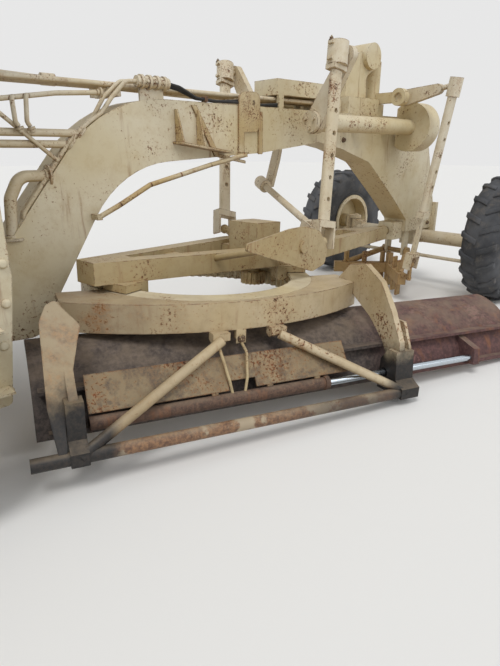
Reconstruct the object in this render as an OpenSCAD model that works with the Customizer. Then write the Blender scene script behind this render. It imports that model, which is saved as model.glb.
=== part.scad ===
// Motor grader with a mechanical lift gear, a pull-type circle and a tandem drive.
// Millimetres. Lengths run from the tandem pivot: x forward, y to the left, z up from the ground.
// The whole machine is then set so that its origin is the rear tow pin's eye.

/* [Machine] */
// Distance from the tandem pivot to the front axle
wheelbase = 6900; // [6700:50:7200]
// Distance between the two axles of a tandem
tandem_pitch = 1680; // [1560:20:1760]
// Distance between the middles of the left and right wheels
track = 2260; // [2240:10:2400]
// Distance from the tandem pivot back to the tow pin
tow_back = 1750; // [1700:10:1850]
// Height of the tow pin's eye above the ground
tow_z = 760; // [700:10:800]
// Radius of the hole for the tow pin
tow_r = 26; // [20:1:32]

/* [Wheels] */
// Outer diameter of a tyre
tyre_d = 1360; // [1320:10:1380]
// Width of a tyre
tyre_w = 400; // [360:10:410]
// Diameter of the rim where the tyre seats
rim_d = 660; // [620:10:700]
// Lugs on each side of a tyre
lug_count = 20; // [12:1:24]

/* [Frame] */
// Width of the main frame's box section
frame_w = 300; // [260:10:320]
// Height of the main frame's top
frame_top = 1940; // [1930:5:1960]
// Radius of the gooseneck's outer bend
neck_r_out = 965; // [800:5:1000]
// Radius of the gooseneck's inner bend
neck_r_in = 768; // [600:4:800]
// Half the distance over the rear frame's side rails
rail_y = 385; // [370:5:400]
// Width of a side rail
rail_w = 90; // [70:5:100]
// Depth of a side rail
rail_h = 220; // [180:10:240]
// Height of the top of the side rails
rail_top = 1090; // [1080:5:1110]

/* [Cab] */
// Rear face of the cab
cab_x0 = 550; // [520:10:600]
// Length of the cab
cab_l = 1200; // [1100:10:1220]
// Width of the cab
cab_w = 1450; // [1300:10:1480]
// Height of the cab floor's upper face
floor_z = 1360; // [1340:5:1380]
// Height of the cab's walls above the floor
cab_h = 1720; // [1600:10:1760]
// Thickness of a cab wall
cab_t = 40; // [30:2:50]

/* [Engine] */
// Length of the hood
hood_l = 1960; // [1900:10:1960]
// Width of the hood
hood_w = 940; // [900:10:980]
// Height of the hood's top
hood_top = 2060; // [2000:10:2160]
// Thickness of the hood's sheet
hood_t = 6; // [4:1:8]

/* [Drawbar] */
// Height of the drawbar's ball
ball_z = 709; // [690:1:730]
// Swing of the drawbar to the right, in degrees
swing = 7; // [6:0.5:8]
// Rise of the drawbar to the rear, in degrees
rise = 3; // [2.5:0.1:3.2]
// Distance from the ball back to the circle's centre
circle_back = 3110; // [3080:5:3140]
// Distance from the ball back to the lift balls
lift_back = 2268; // [2230:2:2300]
// Half the distance between the lift balls
lift_y = 538; // [520:2:550]
// Depth of the drawbar's beams
beam_h = 140; // [130:5:160]

/* [Circle and blade] */
// Outer radius of the toothed circle
circle_r = 850; // [830:5:860]
// Radial width of the circle's top plate
circle_w = 150; // [130:5:160]
// Depth of the circle's side band
band_h = 176; // [160:2:180]
// Teeth inside the circle
tooth_count = 72; // [48:4:90]
// Turn of the blade from the drawbar's line, in degrees
blade_turn = -23; // [-24:0.5:-20]
// Length of the blade
blade_l = 3660; // [3500:10:3700]
// Thickness of the blade's plate
blade_t = 22; // [18:1:30]
// How far the blade's heel lies behind the circle's centre
heel_u = 1260; // [1200:10:1270]

/* [Lift gear] */
// Radius of a worm gear's housing
worm_r = 235; // [200:5:240]
// Radius of a torque tube
torque_r = 74; // [60:2:80]
// Distance of a torque tube from the middle
torque_y = 350; // [345:5:360]
// Width of a lift link's flat tube
link_w = 112; // [100:2:118]
// Thickness of a lift link's flat tube
link_t = 60; // [44:2:66]
// Pitch of the lift link's adjusting holes
hole_pitch = 165; // [150:5:175]

/* [Hidden] */
$fn = 48;

cream = "#d8c79a";
dark = "#2b2b2b";
steel = "#8d8d8d";
rust = "#7a4a38";

// Clearance left between pieces that move past each other, and at a pin in its hole
gap = 6;
pin_gap = 0.3;
ball_gap = 0.7;
seat = 0.3;

tyre_r = tyre_d / 2;
rim_r = rim_d / 2;
axle_z = tyre_r;
wheel_y = track / 2;
neck_x = 2006;
ball_x = wheelbase - 565;
beam_front = 5150;
king_y = 880;
foot_x = 1500;
foot_top = 1080;

// Arc of radius r that rounds the corner b between a and c
function turn(a, b, c, r, n = 8) = let(
    u = (a - b) / norm(a - b), w = (c - b) / norm(c - b), h = acos(u * w) / 2,
    o = b + (u + w) / norm(u + w) * r / sin(h), s = b + u * r / tan(h) - o,
    e = b + w * r / tan(h) - o, a0 = atan2(s.y, s.x), d = atan2(e.y, e.x) - a0,
    k = d > 180 ? d - 360 : d < -180 ? d + 360 : d)
    [for (i = [0:n]) o + r * [cos(a0 + k * i / n), sin(a0 + k * i / n)]];

// Outline from corners [x, y, radius], with each radius above 0 rounded
function rounded(p) = let(n = len(p), q = [for (c = p) [c.x, c.y]])
    [for (i = [0:n - 1]) each (p[i][2] > 0
        ? turn(q[(i + n - 1) % n], q[i], q[(i + 1) % n], p[i][2]) : [q[i]])];

// A plate whose outline lies in x and z, centred on y
module upright(p, w) rotate([90, 0, 0]) linear_extrude(w, center = true) polygon(rounded(p));

// A box given by its low and high corners
module block(a, b) translate(a) cube(b - a);

// Cylinders along x and along y, centred
module rod_x(r, l) rotate([0, 90, 0]) cylinder(r = r, h = l, center = true);
module rod_y(r, l) rotate([90, 0, 0]) cylinder(r = r, h = l, center = true);

// Children, drawn along z, laid from a to b; they receive no length and use span(a, b)
function span(a, b) = norm(b - a);
module along(a, b) translate(a)
    rotate([0, acos((b - a).z / norm(b - a)), atan2((b - a).y, (b - a).x)]) children();
module bar(a, b, r) along(a, b) cylinder(r = r, h = span(a, b));

// Both sides of the machine
module both_sides() for (s = [1, -1]) scale_y(s) children();
module scale_y(s) mirror([0, s < 0 ? 1 : 0, 0]) children();

// Places of the blade gear
module at_ball() translate([ball_x, 0, ball_z]) rotate([0, 0, swing]) rotate([0, rise, 0]) children();
module at_circle() at_ball() translate([-circle_back, 0, 0]) rotate([0, 0, blade_turn]) children();

beam_top = 48;
beam_low = beam_top - beam_h;
lip_z = -143;
band_low = lip_z - band_h;

// Where a point of the drawbar lies on the machine
function from_bar(p) = let(
    x = p.x * cos(rise) + p.z * sin(rise), z = p.z * cos(rise) - p.x * sin(rise))
    [ball_x + x * cos(swing) - p.y * sin(swing), x * sin(swing) + p.y * cos(swing), ball_z + z];

// Hangs children from a so that their -z points at b and their x stays close to the machine's
module hang(a, b) translate(a) rotate([atan2((b - a).y, (a - b).z), 0, 0])
    rotate([0, -asin((b - a).x / norm(b - a)), 0]) children();

// A plate whose outline lies in y and z, from x0 on
module facing(x0, w) translate([x0, 0, 0]) rotate([90, 0, 90]) linear_extrude(w) children();

// Main frame: box beam with a gooseneck and a foot against the bulkhead
frame_corners = [
    [foot_x, 480, 0], [2100, 440, 100], [2792, 1504, neck_r_in], [4100, 1585, 0],
    [4840, 1675, 0], [beam_front, 1625, 0], [beam_front, frame_top, 0],
    [2717, frame_top, neck_r_out], [neck_x, foot_top, 150], [foot_x, foot_top, 0]];

module main_frame() color(cream) {
    upright(frame_corners, frame_w);
    translate([0, frame_w / 2 + 5, 0]) upright([[3440, 1560, 20], [3560, 1568, 20], [3560, 1900, 20],
        [3440, 1900, 20]], 10);
}

// Front bolster: the frame's nose, swept down to the axle's ears and the drawbar's socket
nose_low = 690;
push_x = wheelbase + 150;
scar_x = wheelbase - 350;
push_hole = [110, 150];
module front_bolster() color(cream) difference() {
    union() {
        upright([[beam_front + seat, 1625, 0], [5640, 1490, 250], [scar_x - 400, 1100, 300],
            [scar_x - 80, 830, 40], [scar_x - 80, nose_low, 0], [push_x, nose_low, 0], [push_x, 1000, 120],
            [push_x - 270, 1700, 300], [push_x - 570, frame_top, 250], [beam_front + seat, frame_top, 0]],
            frame_w);
        block([ball_x - 45, -105, 609], [ball_x + 145, 105, 809]);
        block([push_x, -200, 620], [push_x + 45, 200, 1000]);
        for (x = [-140, 90]) block([wheelbase + x, -90, 500], [wheelbase + x + 50, 90, nose_low + 1]);
        for (s = [1, -1]) block([scar_x - 50, s > 0 ? 100 : -130, 400],
            [scar_x + 50, s > 0 ? 130 : -100, nose_low + 1]);
    }
    translate([ball_x, 0, ball_z]) sphere(r = 55 + ball_gap);
    translate([ball_x - 46, 0, ball_z]) rotate([0, 90, 0]) cylinder(r = 48, h = 46);
    translate([wheelbase, 0, 600]) rod_x(30, 400);
    translate([scar_x, 0, 450]) rod_y(25 + pin_gap, 300);
    for (y = [-1, 1], z = [-1, 1]) translate([push_x + 20, y * push_hole.x, 810 + z * push_hole.y])
        rod_x(13, 60);
}

// Right side bracket: gusset, shelf and the strap beneath them
module side_bracket() color(cream) {
    translate([0, -side_y - 55, 0]) upright([[3225, 1648, 0], [3705, 1582, 0], [3705, 1597, 0],
        [3225, 1664, 0]], 110);
    translate([0, -side_y - 7, 0]) {
        upright([[3600, 1560, 0], [3915, 1504, 0], [3915, 1526, 0], [3640, 1580, 0], [3438, 1914, 0],
            [3395, 1914, 0]], 14);
        upright([[3842, 1560, 0], [3905, 1560, 0], [3905, 1740, 0], [4040, 1745, 0], [4075, 1790, 20],
            [4075, 2045, 60], [3850, 2035, 60]], 14);
        upright([[4060, 1575, 8], [4105, 1575, 8], [4105, 1900, 8], [4060, 1900, 8]], 14);
    }
    for (x = [3250, 3440]) translate([x, 0, 0]) facing(0, 14) polygon([[-side_y, 1655 - (x - 3250) / 7],
        [-side_y, 1880], [-side_y - 26, 1880], [-side_y - 100, 1655 - (x - 3250) / 7]]);
    for (i = [0:len(rail_bend) - 2]) bar(rail_bend[i], rail_bend[i + 1], 17);
    for (i = [1:len(rail_bend) - 2]) translate(rail_bend[i]) rotate([90, 0, 0]) sphere(r = 17.4);
    block([3835, -245, 1555], [3865, -side_y, 1590]);
    block([2545, -245, 1170], [2580, -side_y, 1205]);
}
rail_bend = [[2560, -230, 1187], [2721, -230, 1257], [2964, -230, 1377], [3220, -230, 1436],
    [3497, -230, 1500], [3862, -230, 1572]];

// Rear frame: two rails, a bulkhead, a rear plate and the tow eye
rail_x0 = -1620;
module rear_frame() color(cream) difference() {
    union() {
        for (s = [1, -1]) block([rail_x0, s > 0 ? rail_y - rail_w : -rail_y, rail_top - rail_h],
            [foot_x - 60, s > 0 ? rail_y : -rail_y + rail_w, rail_top]);
        block([foot_x - 60, -rail_y, 480], [foot_x - seat, rail_y, rail_top]);
        block([rail_x0 - 30, -rail_y, 650], [rail_x0, rail_y, rail_top]);
        block([-tow_back, -90, tow_z - 30], [rail_x0 - 30, 90, tow_z + 30]);
        translate([-tow_back, 0, tow_z - 30]) cylinder(r = 90, h = 60);
        for (s = [1, -1]) block([rail_x0 - 90, s * 80 - 8, tow_z + 30], [rail_x0 - 30, s * 80 + 8, 960]);
    }
    translate([-tow_back, 0, tow_z - 100]) cylinder(r = tow_r, h = 200);
}

module transmission_case() color(cream) {
    block([330, -285, 520], [foot_x - 60 - seat, 285, 1060]);
    block([420, -230, 470], [1300, 230, 520]);
    translate([264, 0, 700]) rod_x(200, 135);
}

module rear_axle() color(cream) {
    translate([0, 0, axle_z]) rod_y(150, 2 * (tandem_y0 - seat));
    for (s = [1, -1]) translate([0, s * 340, 0]) block([-120, -45, axle_z],
        [120, 45, rail_top - rail_h - seat]);
    translate([-20, 0, axle_z]) rod_y(215, 300);
}

tandem_y0 = 640;
tandem_y1 = 860;
module tandem_cases() color(cream) both_sides() {
    translate([0, (tandem_y0 + tandem_y1) / 2, 0]) upright([
        [-tandem_pitch / 2 - 190, axle_z - 170, 160], [-200, axle_z - 235, 0], [200, axle_z - 235, 0],
        [tandem_pitch / 2 + 190, axle_z - 170, 160], [tandem_pitch / 2 + 190, axle_z + 170, 160],
        [200, axle_z + 235, 0], [-200, axle_z + 235, 0],
        [-tandem_pitch / 2 - 190, axle_z + 170, 160]], tandem_y1 - tandem_y0);
    for (x = [-1, 1]) translate([x * tandem_pitch / 2, tandem_y1, axle_z]) rotate([-90, 0, 0]) {
        cylinder(r = 120, h = 40);
        cylinder(r = 60, h = 290);
    }
    translate([0, tandem_y1, axle_z]) rotate([-90, 0, 0]) cylinder(r = 170, h = 25);
}

module engine_block() color("#6b5a3a") {
    block([-1250, -270, 900], [-70, 270, 1850]);
    for (x = [-1180, -250]) block([x, -375, rail_top + seat], [x + 90, 375, rail_top + 70]);
}

hood_x0 = -1500;
hood_x1 = hood_x0 + hood_l;
module hood() color(cream) difference() {
    upright([[hood_x0, rail_top + seat, 0], [hood_x1, rail_top + seat, 0], [hood_x1, hood_top, 60],
        [hood_x0, hood_top, 60]], hood_w);
    upright([[hood_x0 - 1, rail_top, 0], [hood_x1 - hood_t, rail_top, 0],
        [hood_x1 - hood_t, hood_top - hood_t, 54], [hood_x0 - 1, hood_top - hood_t, 0]],
        hood_w - 2 * hood_t);
    for (i = [0:6]) block([-1250 + i * 140, -hood_w, 1350], [-1190 + i * 140, hood_w, 1800]);
}

module radiator() color(cream) {
    difference() {
        block([hood_x0 - 120, -hood_w / 2, rail_top + seat], [hood_x0 - seat, hood_w / 2, hood_top]);
        block([hood_x0 - 121, -hood_w / 2 + 60, rail_top + 70], [hood_x0 - 60, hood_w / 2 - 60, hood_top - 70]);
    }
    for (i = [0:9]) block([hood_x0 - 112, -hood_w / 2 + 57, rail_top + 110 + i * 80],
        [hood_x0 - 100, hood_w / 2 - 57, rail_top + 136 + i * 80]);
    for (y = [-1, 1]) block([hood_x0 - 108, y * 140 - 12, rail_top + 67],
        [hood_x0 - 96, y * 140 + 12, hood_top - 67]);
}

module exhaust() color(dark) difference() {
    union() {
        translate([-300, -200, hood_top + seat]) cylinder(r = 60, h = 500);
        translate([-300, -200, hood_top + seat]) cylinder(r = 38, h = 820);
    }
    translate([-300, -200, hood_top + 400]) cylinder(r = 34, h = 600);
}

plate_y = 790;
platform_x0 = 500;
platform_x1 = 1800;
step_x = 1700;
module platform() color(cream) {
    block([platform_x0, -plate_y, floor_z - 30], [platform_x1, plate_y, floor_z]);
    for (x = [600, 1350]) block([x, -plate_y, rail_top + seat], [x + 90, plate_y, floor_z - 30]);
    for (s = [1, -1]) translate([0, s * (plate_y - 6), 0]) upright([[1180, 760, 60], [1560, 330, 40],
        [step_x, 330, 30], [platform_x1, 1000, 200], [platform_x1, floor_z, 0], [1180, floor_z, 0]], 12);
    for (s = [1, -1], z = [430, 760]) block([1570, s > 0 ? plate_y : -plate_y - 100, z],
        [step_x, s > 0 ? plate_y + 100 : -plate_y, z + 12]);
}

cab_x1 = cab_x0 + cab_l;
cab_y = cab_w / 2;
hinge_out = 20;
hinge_z = [floor_z + 300, floor_z + 1300];
roof_z = floor_z + cab_h;
sill_z = floor_z + 700;
door_z0 = floor_z + 45;
door_z1 = roof_z - 70;
door_x0 = cab_x0 + 200;
door_x1 = cab_x1 - 130;
module cab_body() color(cream) {
    cab_shell();
    both_sides() for (z = hinge_z) translate([door_x0, cab_y, z]) {
        translate([0, hinge_out, -20]) cylinder(r = 6, h = 130);
        for (h = [-22, 91]) {
            block([-26, 0, h], [-4, hinge_out + 12, h + 21]);
            translate([0, hinge_out, h]) cylinder(r = 14, h = 21);
        }
    }
}
module cab_shell() difference() {
    block([cab_x0, -cab_y, floor_z + seat], [cab_x1, cab_y, roof_z]);
    block([cab_x0 + cab_t, -cab_y + cab_t, floor_z], [cab_x1 - cab_t, cab_y - cab_t, roof_z + 1]);
    block([door_x0, -cab_w, door_z0], [door_x1, cab_w, door_z1]);
    block([cab_x0 - 1, -cab_y + 110, sill_z], [cab_x1 + 1, cab_y - 110, door_z1]);
    block([cab_x1 - 100, -cab_y + 110, floor_z + 120], [cab_x1 + 1, -180, sill_z - 90]);
    block([cab_x1 - 100, 180, floor_z + 120], [cab_x1 + 1, cab_y - 110, sill_z - 90]);
    block([cab_x0 + cab_t + 20, -cab_w, sill_z], [door_x0 - 60, cab_w, door_z1]);
}

module cab_roof() color(cream) {
    block([cab_x0 - 50, -cab_y - 40, roof_z + seat], [cab_x1 + 110, cab_y + 40, roof_z + 50]);
    block([cab_x0 + 100, -cab_y + 110, roof_z + 50], [cab_x1 - 60, cab_y - 110, roof_z + 75]);
}

module cab_door() {
    difference() {
        block([door_x0 + gap, cab_y - cab_t, door_z0 + gap], [door_x1 - gap, cab_y, door_z1 - gap]);
        block([door_x0 + 80, 0, sill_z], [door_x1 - 80, cab_w, door_z1 - 80]);
        block([door_x0 + 80, 0, door_z0 + 90], [door_x1 - 80, cab_w, sill_z - 90]);
    }
    for (z = hinge_z) translate([door_x0, cab_y + hinge_out, z]) difference() {
        union() {
            cylinder(r = 13, h = 90);
            block([0, -5, 0], [70, 5, 90]);
            block([20, -hinge_out, 0], [70, 0, 90]);
        }
        translate([0, 0, -1]) cylinder(r = 6 + pin_gap, h = 92);
    }
    block([door_x1 - 70, cab_y, sill_z - 60], [door_x1 - 40, cab_y + 40, sill_z + 60]);
}
module cab_door_left() color(cream) cab_door();
module cab_door_right() color(cream) mirror([0, 1, 0]) cab_door();

module seat() color(dark) {
    translate([cab_x0 + 400, 0, floor_z + seat]) cylinder(r = 90, h = 330);
    block([cab_x0 + 170, -240, floor_z + 330], [cab_x0 + 620, 240, floor_z + 450]);
    block([cab_x0 + 110, -240, floor_z + 450], [cab_x0 + 210, 240, floor_z + 950]);
}

module console() color(cream) {
    block([cab_x1 - 330, -170, floor_z + seat], [cab_x1 - cab_t - 5, 170, floor_z + 640]);
    translate([cab_x1 - 270, 0, floor_z + 640]) rotate([0, -25, 0]) cylinder(r = 28, h = 240);
    translate([cab_x1 - 270, 0, floor_z + 640]) rotate([0, -25, 0]) translate([0, 0, 240]) difference() {
        cylinder(r = 215, h = 24);
        difference() {
            translate([0, 0, -1]) cylinder(r = 190, h = 26);
            block([-195, -20, -2], [195, 20, 30]);
        }
    }
}

module front_axle() color(cream) difference() {
    union() {
        translate([wheelbase, 0, 600]) rod_y(77.5, 1620);
        block([wheelbase - 85, -90, 510], [wheelbase + 85, 90, 685]);
        translate([wheelbase, 0, 600]) rod_x(30 - pin_gap, 310);
        both_sides() {
            translate([wheelbase, king_y, 480]) cylinder(r = 60, h = 240);
            block([wheelbase - 55, king_y - 130, 500], [wheelbase + 55, king_y - 30, 700]);
        }
    }
    both_sides() translate([wheelbase, king_y, 400]) cylinder(r = 25 + pin_gap, h = 400);
}

arm_back = 250;
tie_z = 410;
module knuckle() {
    translate([wheelbase, king_y, 0]) {
        for (z = [435, 725]) translate([0, 0, z]) {
            cylinder(r = 62, h = 40);
            block([-60, 0, 0], [60, 90, 40]);
        }
        block([-75, 72, 435], [75, 110, 765]);
        translate([0, 0, 425]) cylinder(r = 25, h = 360);
        translate([0, 105, axle_z]) rotate([-90, 0, 0]) cylinder(r = 45, h = 165);
        block([-arm_back, -30, 435], [0, 30, 475]);
        translate([-arm_back, 0, 435]) cylinder(r = 34, h = 40);
        translate([-arm_back, 0, tie_z - 26]) cylinder(r = 14, h = 60);
    }
}
module knuckle_left() color(cream) knuckle();
module knuckle_right() color(cream) mirror([0, 1, 0]) knuckle();

module tie_rod() color(cream) translate([wheelbase - arm_back, 0, tie_z]) difference() {
    union() {
        rod_y(20, 2 * king_y - 50);
        both_sides() translate([0, king_y, -19]) cylinder(r = 33, h = 38);
    }
    both_sides() translate([0, king_y, -50]) cylinder(r = 14 + pin_gap, h = 100);
}

module rim(x, s, bore) color(cream) translate([x, s * wheel_y, axle_z]) scale_y(s) rotate([-90, 0, 0])
    rotate_extrude() polygon([[bore, -130], [bore + 45, -130], [bore + 45, -20], [300, -20], [300, -185],
        [rim_r + 20, -185], [rim_r + 20, -165], [rim_r, -165], [rim_r, 165], [rim_r + 20, 165],
        [rim_r + 20, 185], [300, 185], [300, 0], [115, 0], [115, 50], [95, 75], [0, 75], [0, 28],
        [bore, 28]]);
module tyre(x, s) color(dark) translate([x, s * wheel_y, axle_z]) rotate([90, 0, 0])
    rotate_extrude() polygon([[rim_r + seat, -160], [rim_r + 35, -163], [rim_r + 120, -tyre_w / 2],
        [tyre_r - 120, -tyre_w / 2], [tyre_r - 30, -tyre_w / 2 + 20], [tyre_r, -tyre_w / 2 + 60],
        [tyre_r, tyre_w / 2 - 60], [tyre_r - 30, tyre_w / 2 - 20], [tyre_r - 120, tyre_w / 2],
        [rim_r + 120, tyre_w / 2], [rim_r + 35, 163], [rim_r + seat, 160]]);
spindle_rear = 60 + pin_gap;
spindle_front = 45 + pin_gap;
module rim_front_left() rim(wheelbase, 1, spindle_front);
module rim_front_right() rim(wheelbase, -1, spindle_front);
module rim_mid_left() rim(tandem_pitch / 2, 1, spindle_rear);
module rim_mid_right() rim(tandem_pitch / 2, -1, spindle_rear);
module rim_rear_left() rim(-tandem_pitch / 2, 1, spindle_rear);
module rim_rear_right() rim(-tandem_pitch / 2, -1, spindle_rear);
module tyre_front_left() tyre(wheelbase, 1);
module tyre_front_right() tyre(wheelbase, -1);
module tyre_mid_left() tyre(tandem_pitch / 2, 1);
module tyre_mid_right() tyre(tandem_pitch / 2, -1);
module tyre_rear_left() tyre(-tandem_pitch / 2, 1);
module tyre_rear_right() tyre(-tandem_pitch / 2, -1);

// Lift gear: worm drums and torque tubes on the frame's sides, cranks with balls at their ends
hub_x = 4500;
hub_z = 1830;
crank_ball = [4400, -670, 2300];
lift_right = from_bar([-lift_back, -lift_y, 90]);
lift_left = from_bar([-lift_back, lift_y, 90]);
shift_ball = [4545, 300, 1300];
shift_bar = [-lift_back + 135, -390, 155];
shift_foot = from_bar(shift_bar);
tilt_hub = [5910, -torque_y, 2100];
tilt_ball = [5910, -850, 2180];
tilt_foot = [5900, -600, 450];
side_y = frame_w / 2 + seat;
shift_hub = 38;

module gear_housings() color(cream) difference() {
    union() both_sides() {
        translate([6100, -torque_y, hub_z]) rod_x(worm_r, 200);
        translate([5300, -torque_y, hub_z]) rod_x(torque_r, 1400);
        for (x = [4680, 5300, 5800]) block([x, -torque_y, hub_z - 60], [x + 40, -side_y, hub_z + 60]);
        translate([6215, -torque_y, hub_z]) rod_x(90, 32);
    }
    both_sides() {
        translate([4675, -torque_y, hub_z]) rod_x(55 + pin_gap, 160);
        block([5990, -side_y, 1400], [6300, 200, 2200]);
    }
}

// Gear cases on the beam's top: circle drive, centre shift and scarifier lift
module gear_cases() color(cream) difference() {
    union() {
        block([5250, -140, frame_top + seat], [5750, 150, 2090]);
        upright([[5290, 2080, 0], [5280, 2330, 60], [5480, 2500, 80], [5760, 2500, 60], [5760, 2380, 60],
            [5600, 2290, 60], [5620, 2080, 0]], 130);
        translate([5640, -10, 2470]) rod_y(118, 210);
        translate([5800, 0, 2045]) cylinder(r = 78, h = 400);
        block([4290, -140, 2042], [4880, 140, 2165]);
        for (x = [4310, 4790], y = [-140, 112]) block([x, y, frame_top + seat], [x + 60, y + 28, 2045]);
        block([4900, -90, frame_top + seat], [5200, 210, 2060]);
        translate([4765, 210, 1990]) rod_x(shift_hub, 290);
        block([5770, -420, 2050], [5810, 120, 2150]);
        block([5770, -120, frame_top + seat], [5860, 120, 2050]);
        block([5750, -90, 1960], [5771, 90, 2080]);
        translate([5790, -torque_y, 2100]) rod_x(80, 80);
    }
    translate([5790, -torque_y, 2100]) rod_x(40 + pin_gap, 90);
}

module control_shafts() color(cream) {
    for (y = [-84, -28, 28, 84]) translate([(cab_x1 + 4900) / 2, y, 2010])
        rod_x(17, 4900 - cab_x1 - 2 * seat);
    bar([cab_x1 + 2, 150, 2060], [2500, 190, 2040], 22);
    translate([2500, 190, 2040]) rod_x(38, 90);
    bar([2500, 190, 2040], [4619, 205, 1992], 22);
    for (x = [2800, 3900]) {
        block([x, -112, frame_top + seat], [x + 60, 112, 2010]);
        block([x, 100, frame_top + seat], [x + 60, 150, 1990]);
        block([x, 110, 1950], [x + 60, 222, 2010]);
    }
}

module shift_crank() color(cream) {
    facing(4630, 40) difference() {
        polygon([[156, 2015], [172, 2040], [240, 2040], [262, 2010], [268, 1960], [252, 1600],
            [345, 1330], [330, 1270], [270, 1265], [190, 1500], [165, 1600], [156, 1950]]);
        translate([210, 1990]) circle(r = shift_hub + seat);
    }
    translate(shift_ball) rotate([0, 90, 0]) sphere(r = 42);
    translate(shift_ball + [60, 0, 0]) rod_x(20, 80);
}

crank_hub_x = hub_x + 10;
module lift_crank() {
    facing(crank_hub_x, 60) hull() {
        translate([-torque_y, hub_z]) circle(r = 92);
        translate([crank_ball.y, crank_ball.z]) circle(r = 62);
    }
    translate([crank_hub_x - 19, -torque_y, hub_z]) rod_x(88, 38);
    for (a = [30, 150, 270]) translate([crank_hub_x - 45, -torque_y + 52 * cos(a), hub_z + 52 * sin(a)])
        rod_x(14, 22);
    translate([crank_hub_x + 120, -torque_y, hub_z]) rod_x(55, 130);
    translate([crank_ball.x + 55, crank_ball.y, crank_ball.z]) rod_x(22, 114);
    translate(crank_ball) sphere(r = 45);
}
module lift_crank_right() color(cream) lift_crank();
module lift_crank_left() color(cream) mirror([0, 1, 0]) lift_crank();

// A lift link of length l: socket, flat tube with adjusting holes, open clevis at the foot
module lift_link(l) difference() {
    union() {
        translate([0, 0, -95]) cylinder(r = 80, h = 165);
        translate([0, 0, -130]) linear_extrude(36) square([150, 90], center = true);
        translate([0, 0, -l + 130]) linear_extrude(l - 259) flat_tube();
        translate([-97, -45, -l + 112]) cube([194, 90, 56]);
        for (x = [-97, 77]) translate([x, -48, -l - 52]) cube([20, 96, 165]);
    }
    for (i = [0:4]) translate([0, 0, -420 - i * hole_pitch]) rod_y(17, 200);
}
module flat_tube() union() {
    square([link_w - link_t, link_t], center = true);
    for (x = [-1, 1]) translate([x * (link_w - link_t) / 2, 0]) circle(r = link_t / 2);
}
function flip(p) = [p.x, -p.y, p.z];
// Room for the ball at a and for its neck along x
module socket(a, r, neck) translate(a) {
    rotate([0, 90, 0]) sphere(r = r + ball_gap);
    translate([70, 0, 0]) rod_x(neck, 140);
}
module lift_link_right() color(cream) difference() {
    hang(crank_ball, lift_right) lift_link(norm(lift_right - crank_ball));
    socket(crank_ball, 45, 28);
}
module lift_link_left() color(cream) difference() {
    hang(flip(crank_ball), lift_left) lift_link(norm(lift_left - flip(crank_ball)));
    socket(flip(crank_ball), 45, 28);
}

module shift_link() color(cream) difference() {
    hang(shift_ball, shift_foot) {
        translate([0, 0, -75]) cylinder(r = 60, h = 130);
        translate([0, 0, -norm(shift_foot - shift_ball) + 120]) cylinder(r = 30,
            h = norm(shift_foot - shift_ball) - 190);
        translate([-80, -40, -norm(shift_foot - shift_ball) + 95]) cube([160, 80, 40]);
        for (x = [-80, 62]) translate([x, -42, -norm(shift_foot - shift_ball) - 42]) cube([18, 84, 138]);
    }
    socket(shift_ball, 42, 26);
}

// Drawbar: ball, tongue, station beams, tail and the shoes that carry the circle
db_out = [[-130, 55], [-330, 85], [-2060, 390], [-2150, 402], [-2430, 402], [-4060, 95]];
db_in = [[-900, 75], [-2100, 275], [-2390, 275], [-3740, 30]];
function flip2(p) = [for (i = [len(p) - 1:-1:0]) [p[i].x, -p[i].y]];
module drawbar() color(cream) at_ball() difference() {
    union() {
        sphere(r = 55);
        translate([-90, 0, 0]) rod_x(35, 110);
        translate([-170, 0, 0]) rod_x(62, 100);
        translate([0, 0, beam_low]) linear_extrude(beam_h) difference() {
            polygon(concat(db_out, flip2(db_out)));
            polygon(concat(db_in, flip2(db_in)));
        }
        for (x = [-1500, -2330, -2560, -3300]) translate([x, 0, beam_low]) linear_extrude(beam_h - 30)
            translate([-60, -bar_half(x)]) square([120, 2 * bar_half(x)]);
        translate([-2470, 0, beam_low]) linear_extrude(310) square([300, 300], center = true);
        translate([-2470, 0, beam_low - 180]) cylinder(r = 55, h = 190);
        translate([-2470, 0, -300]) linear_extrude(100) polygon(teeth(16, 86, 104));
        translate([0, -635, 0]) upright([[-3300, 120, 20], [-3290, 165, 20], [-2841, 233, 0],
            [-2660, 243, 150], [-2470, 200, 90], [-2352, 60, 60], [-2372, -60, 50], [-2540, -100, 80]], 20);
        translate([-2682, -645, 95]) rod_y(46, 36);
        bar([-2682, -330, 20], [-2682, -640, 95], 34);
        bar([-3180, -230, 10], [-3180, -636, 110], 24);
        both_sides() {
            translate([-2290, 392, -20]) rod_y(80, 36);
            bar([-lift_back, 385, 20], [-lift_back, lift_y + 3, 91.4], 24);
            translate([-lift_back, lift_y, 90]) sphere(r = 42);
        }
        bar([shift_bar.x, shift_bar.y, 40], shift_bar + [0, 0, 3], 22);
        translate(shift_bar) sphere(r = 40);
        for (a = [31, -31, 172, 188]) translate([-circle_back, 0, 0]) rotate([0, 0, a - 7]) shoe(14);
    }
}
function bar_half(x) = x > -2100 ? 110 + (-x - 900) / 1200 * 200 : 300 - (-x - 2390) / 1350 * 235;
shoe_z = lip_z - 25 - 0.4;
module shoe(w) rotate_extrude(angle = w) polygon([[620, beam_low + 5], [620, -198], [738, -198],
    [738, shoe_z], [694, shoe_z], [694, -137], [842, -137], [842, beam_low + 5]]);

// Outline of a wheel with n teeth between the radii a and b
function teeth(n, a, b) = [for (i = [0:n - 1]) each [for (p = [[0.04, b], [0.36, b], [0.54, a], [0.86, a]])
    p.y * [cos((i + p.x) * 360 / n), sin((i + p.x) * 360 / n)]]];

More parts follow.
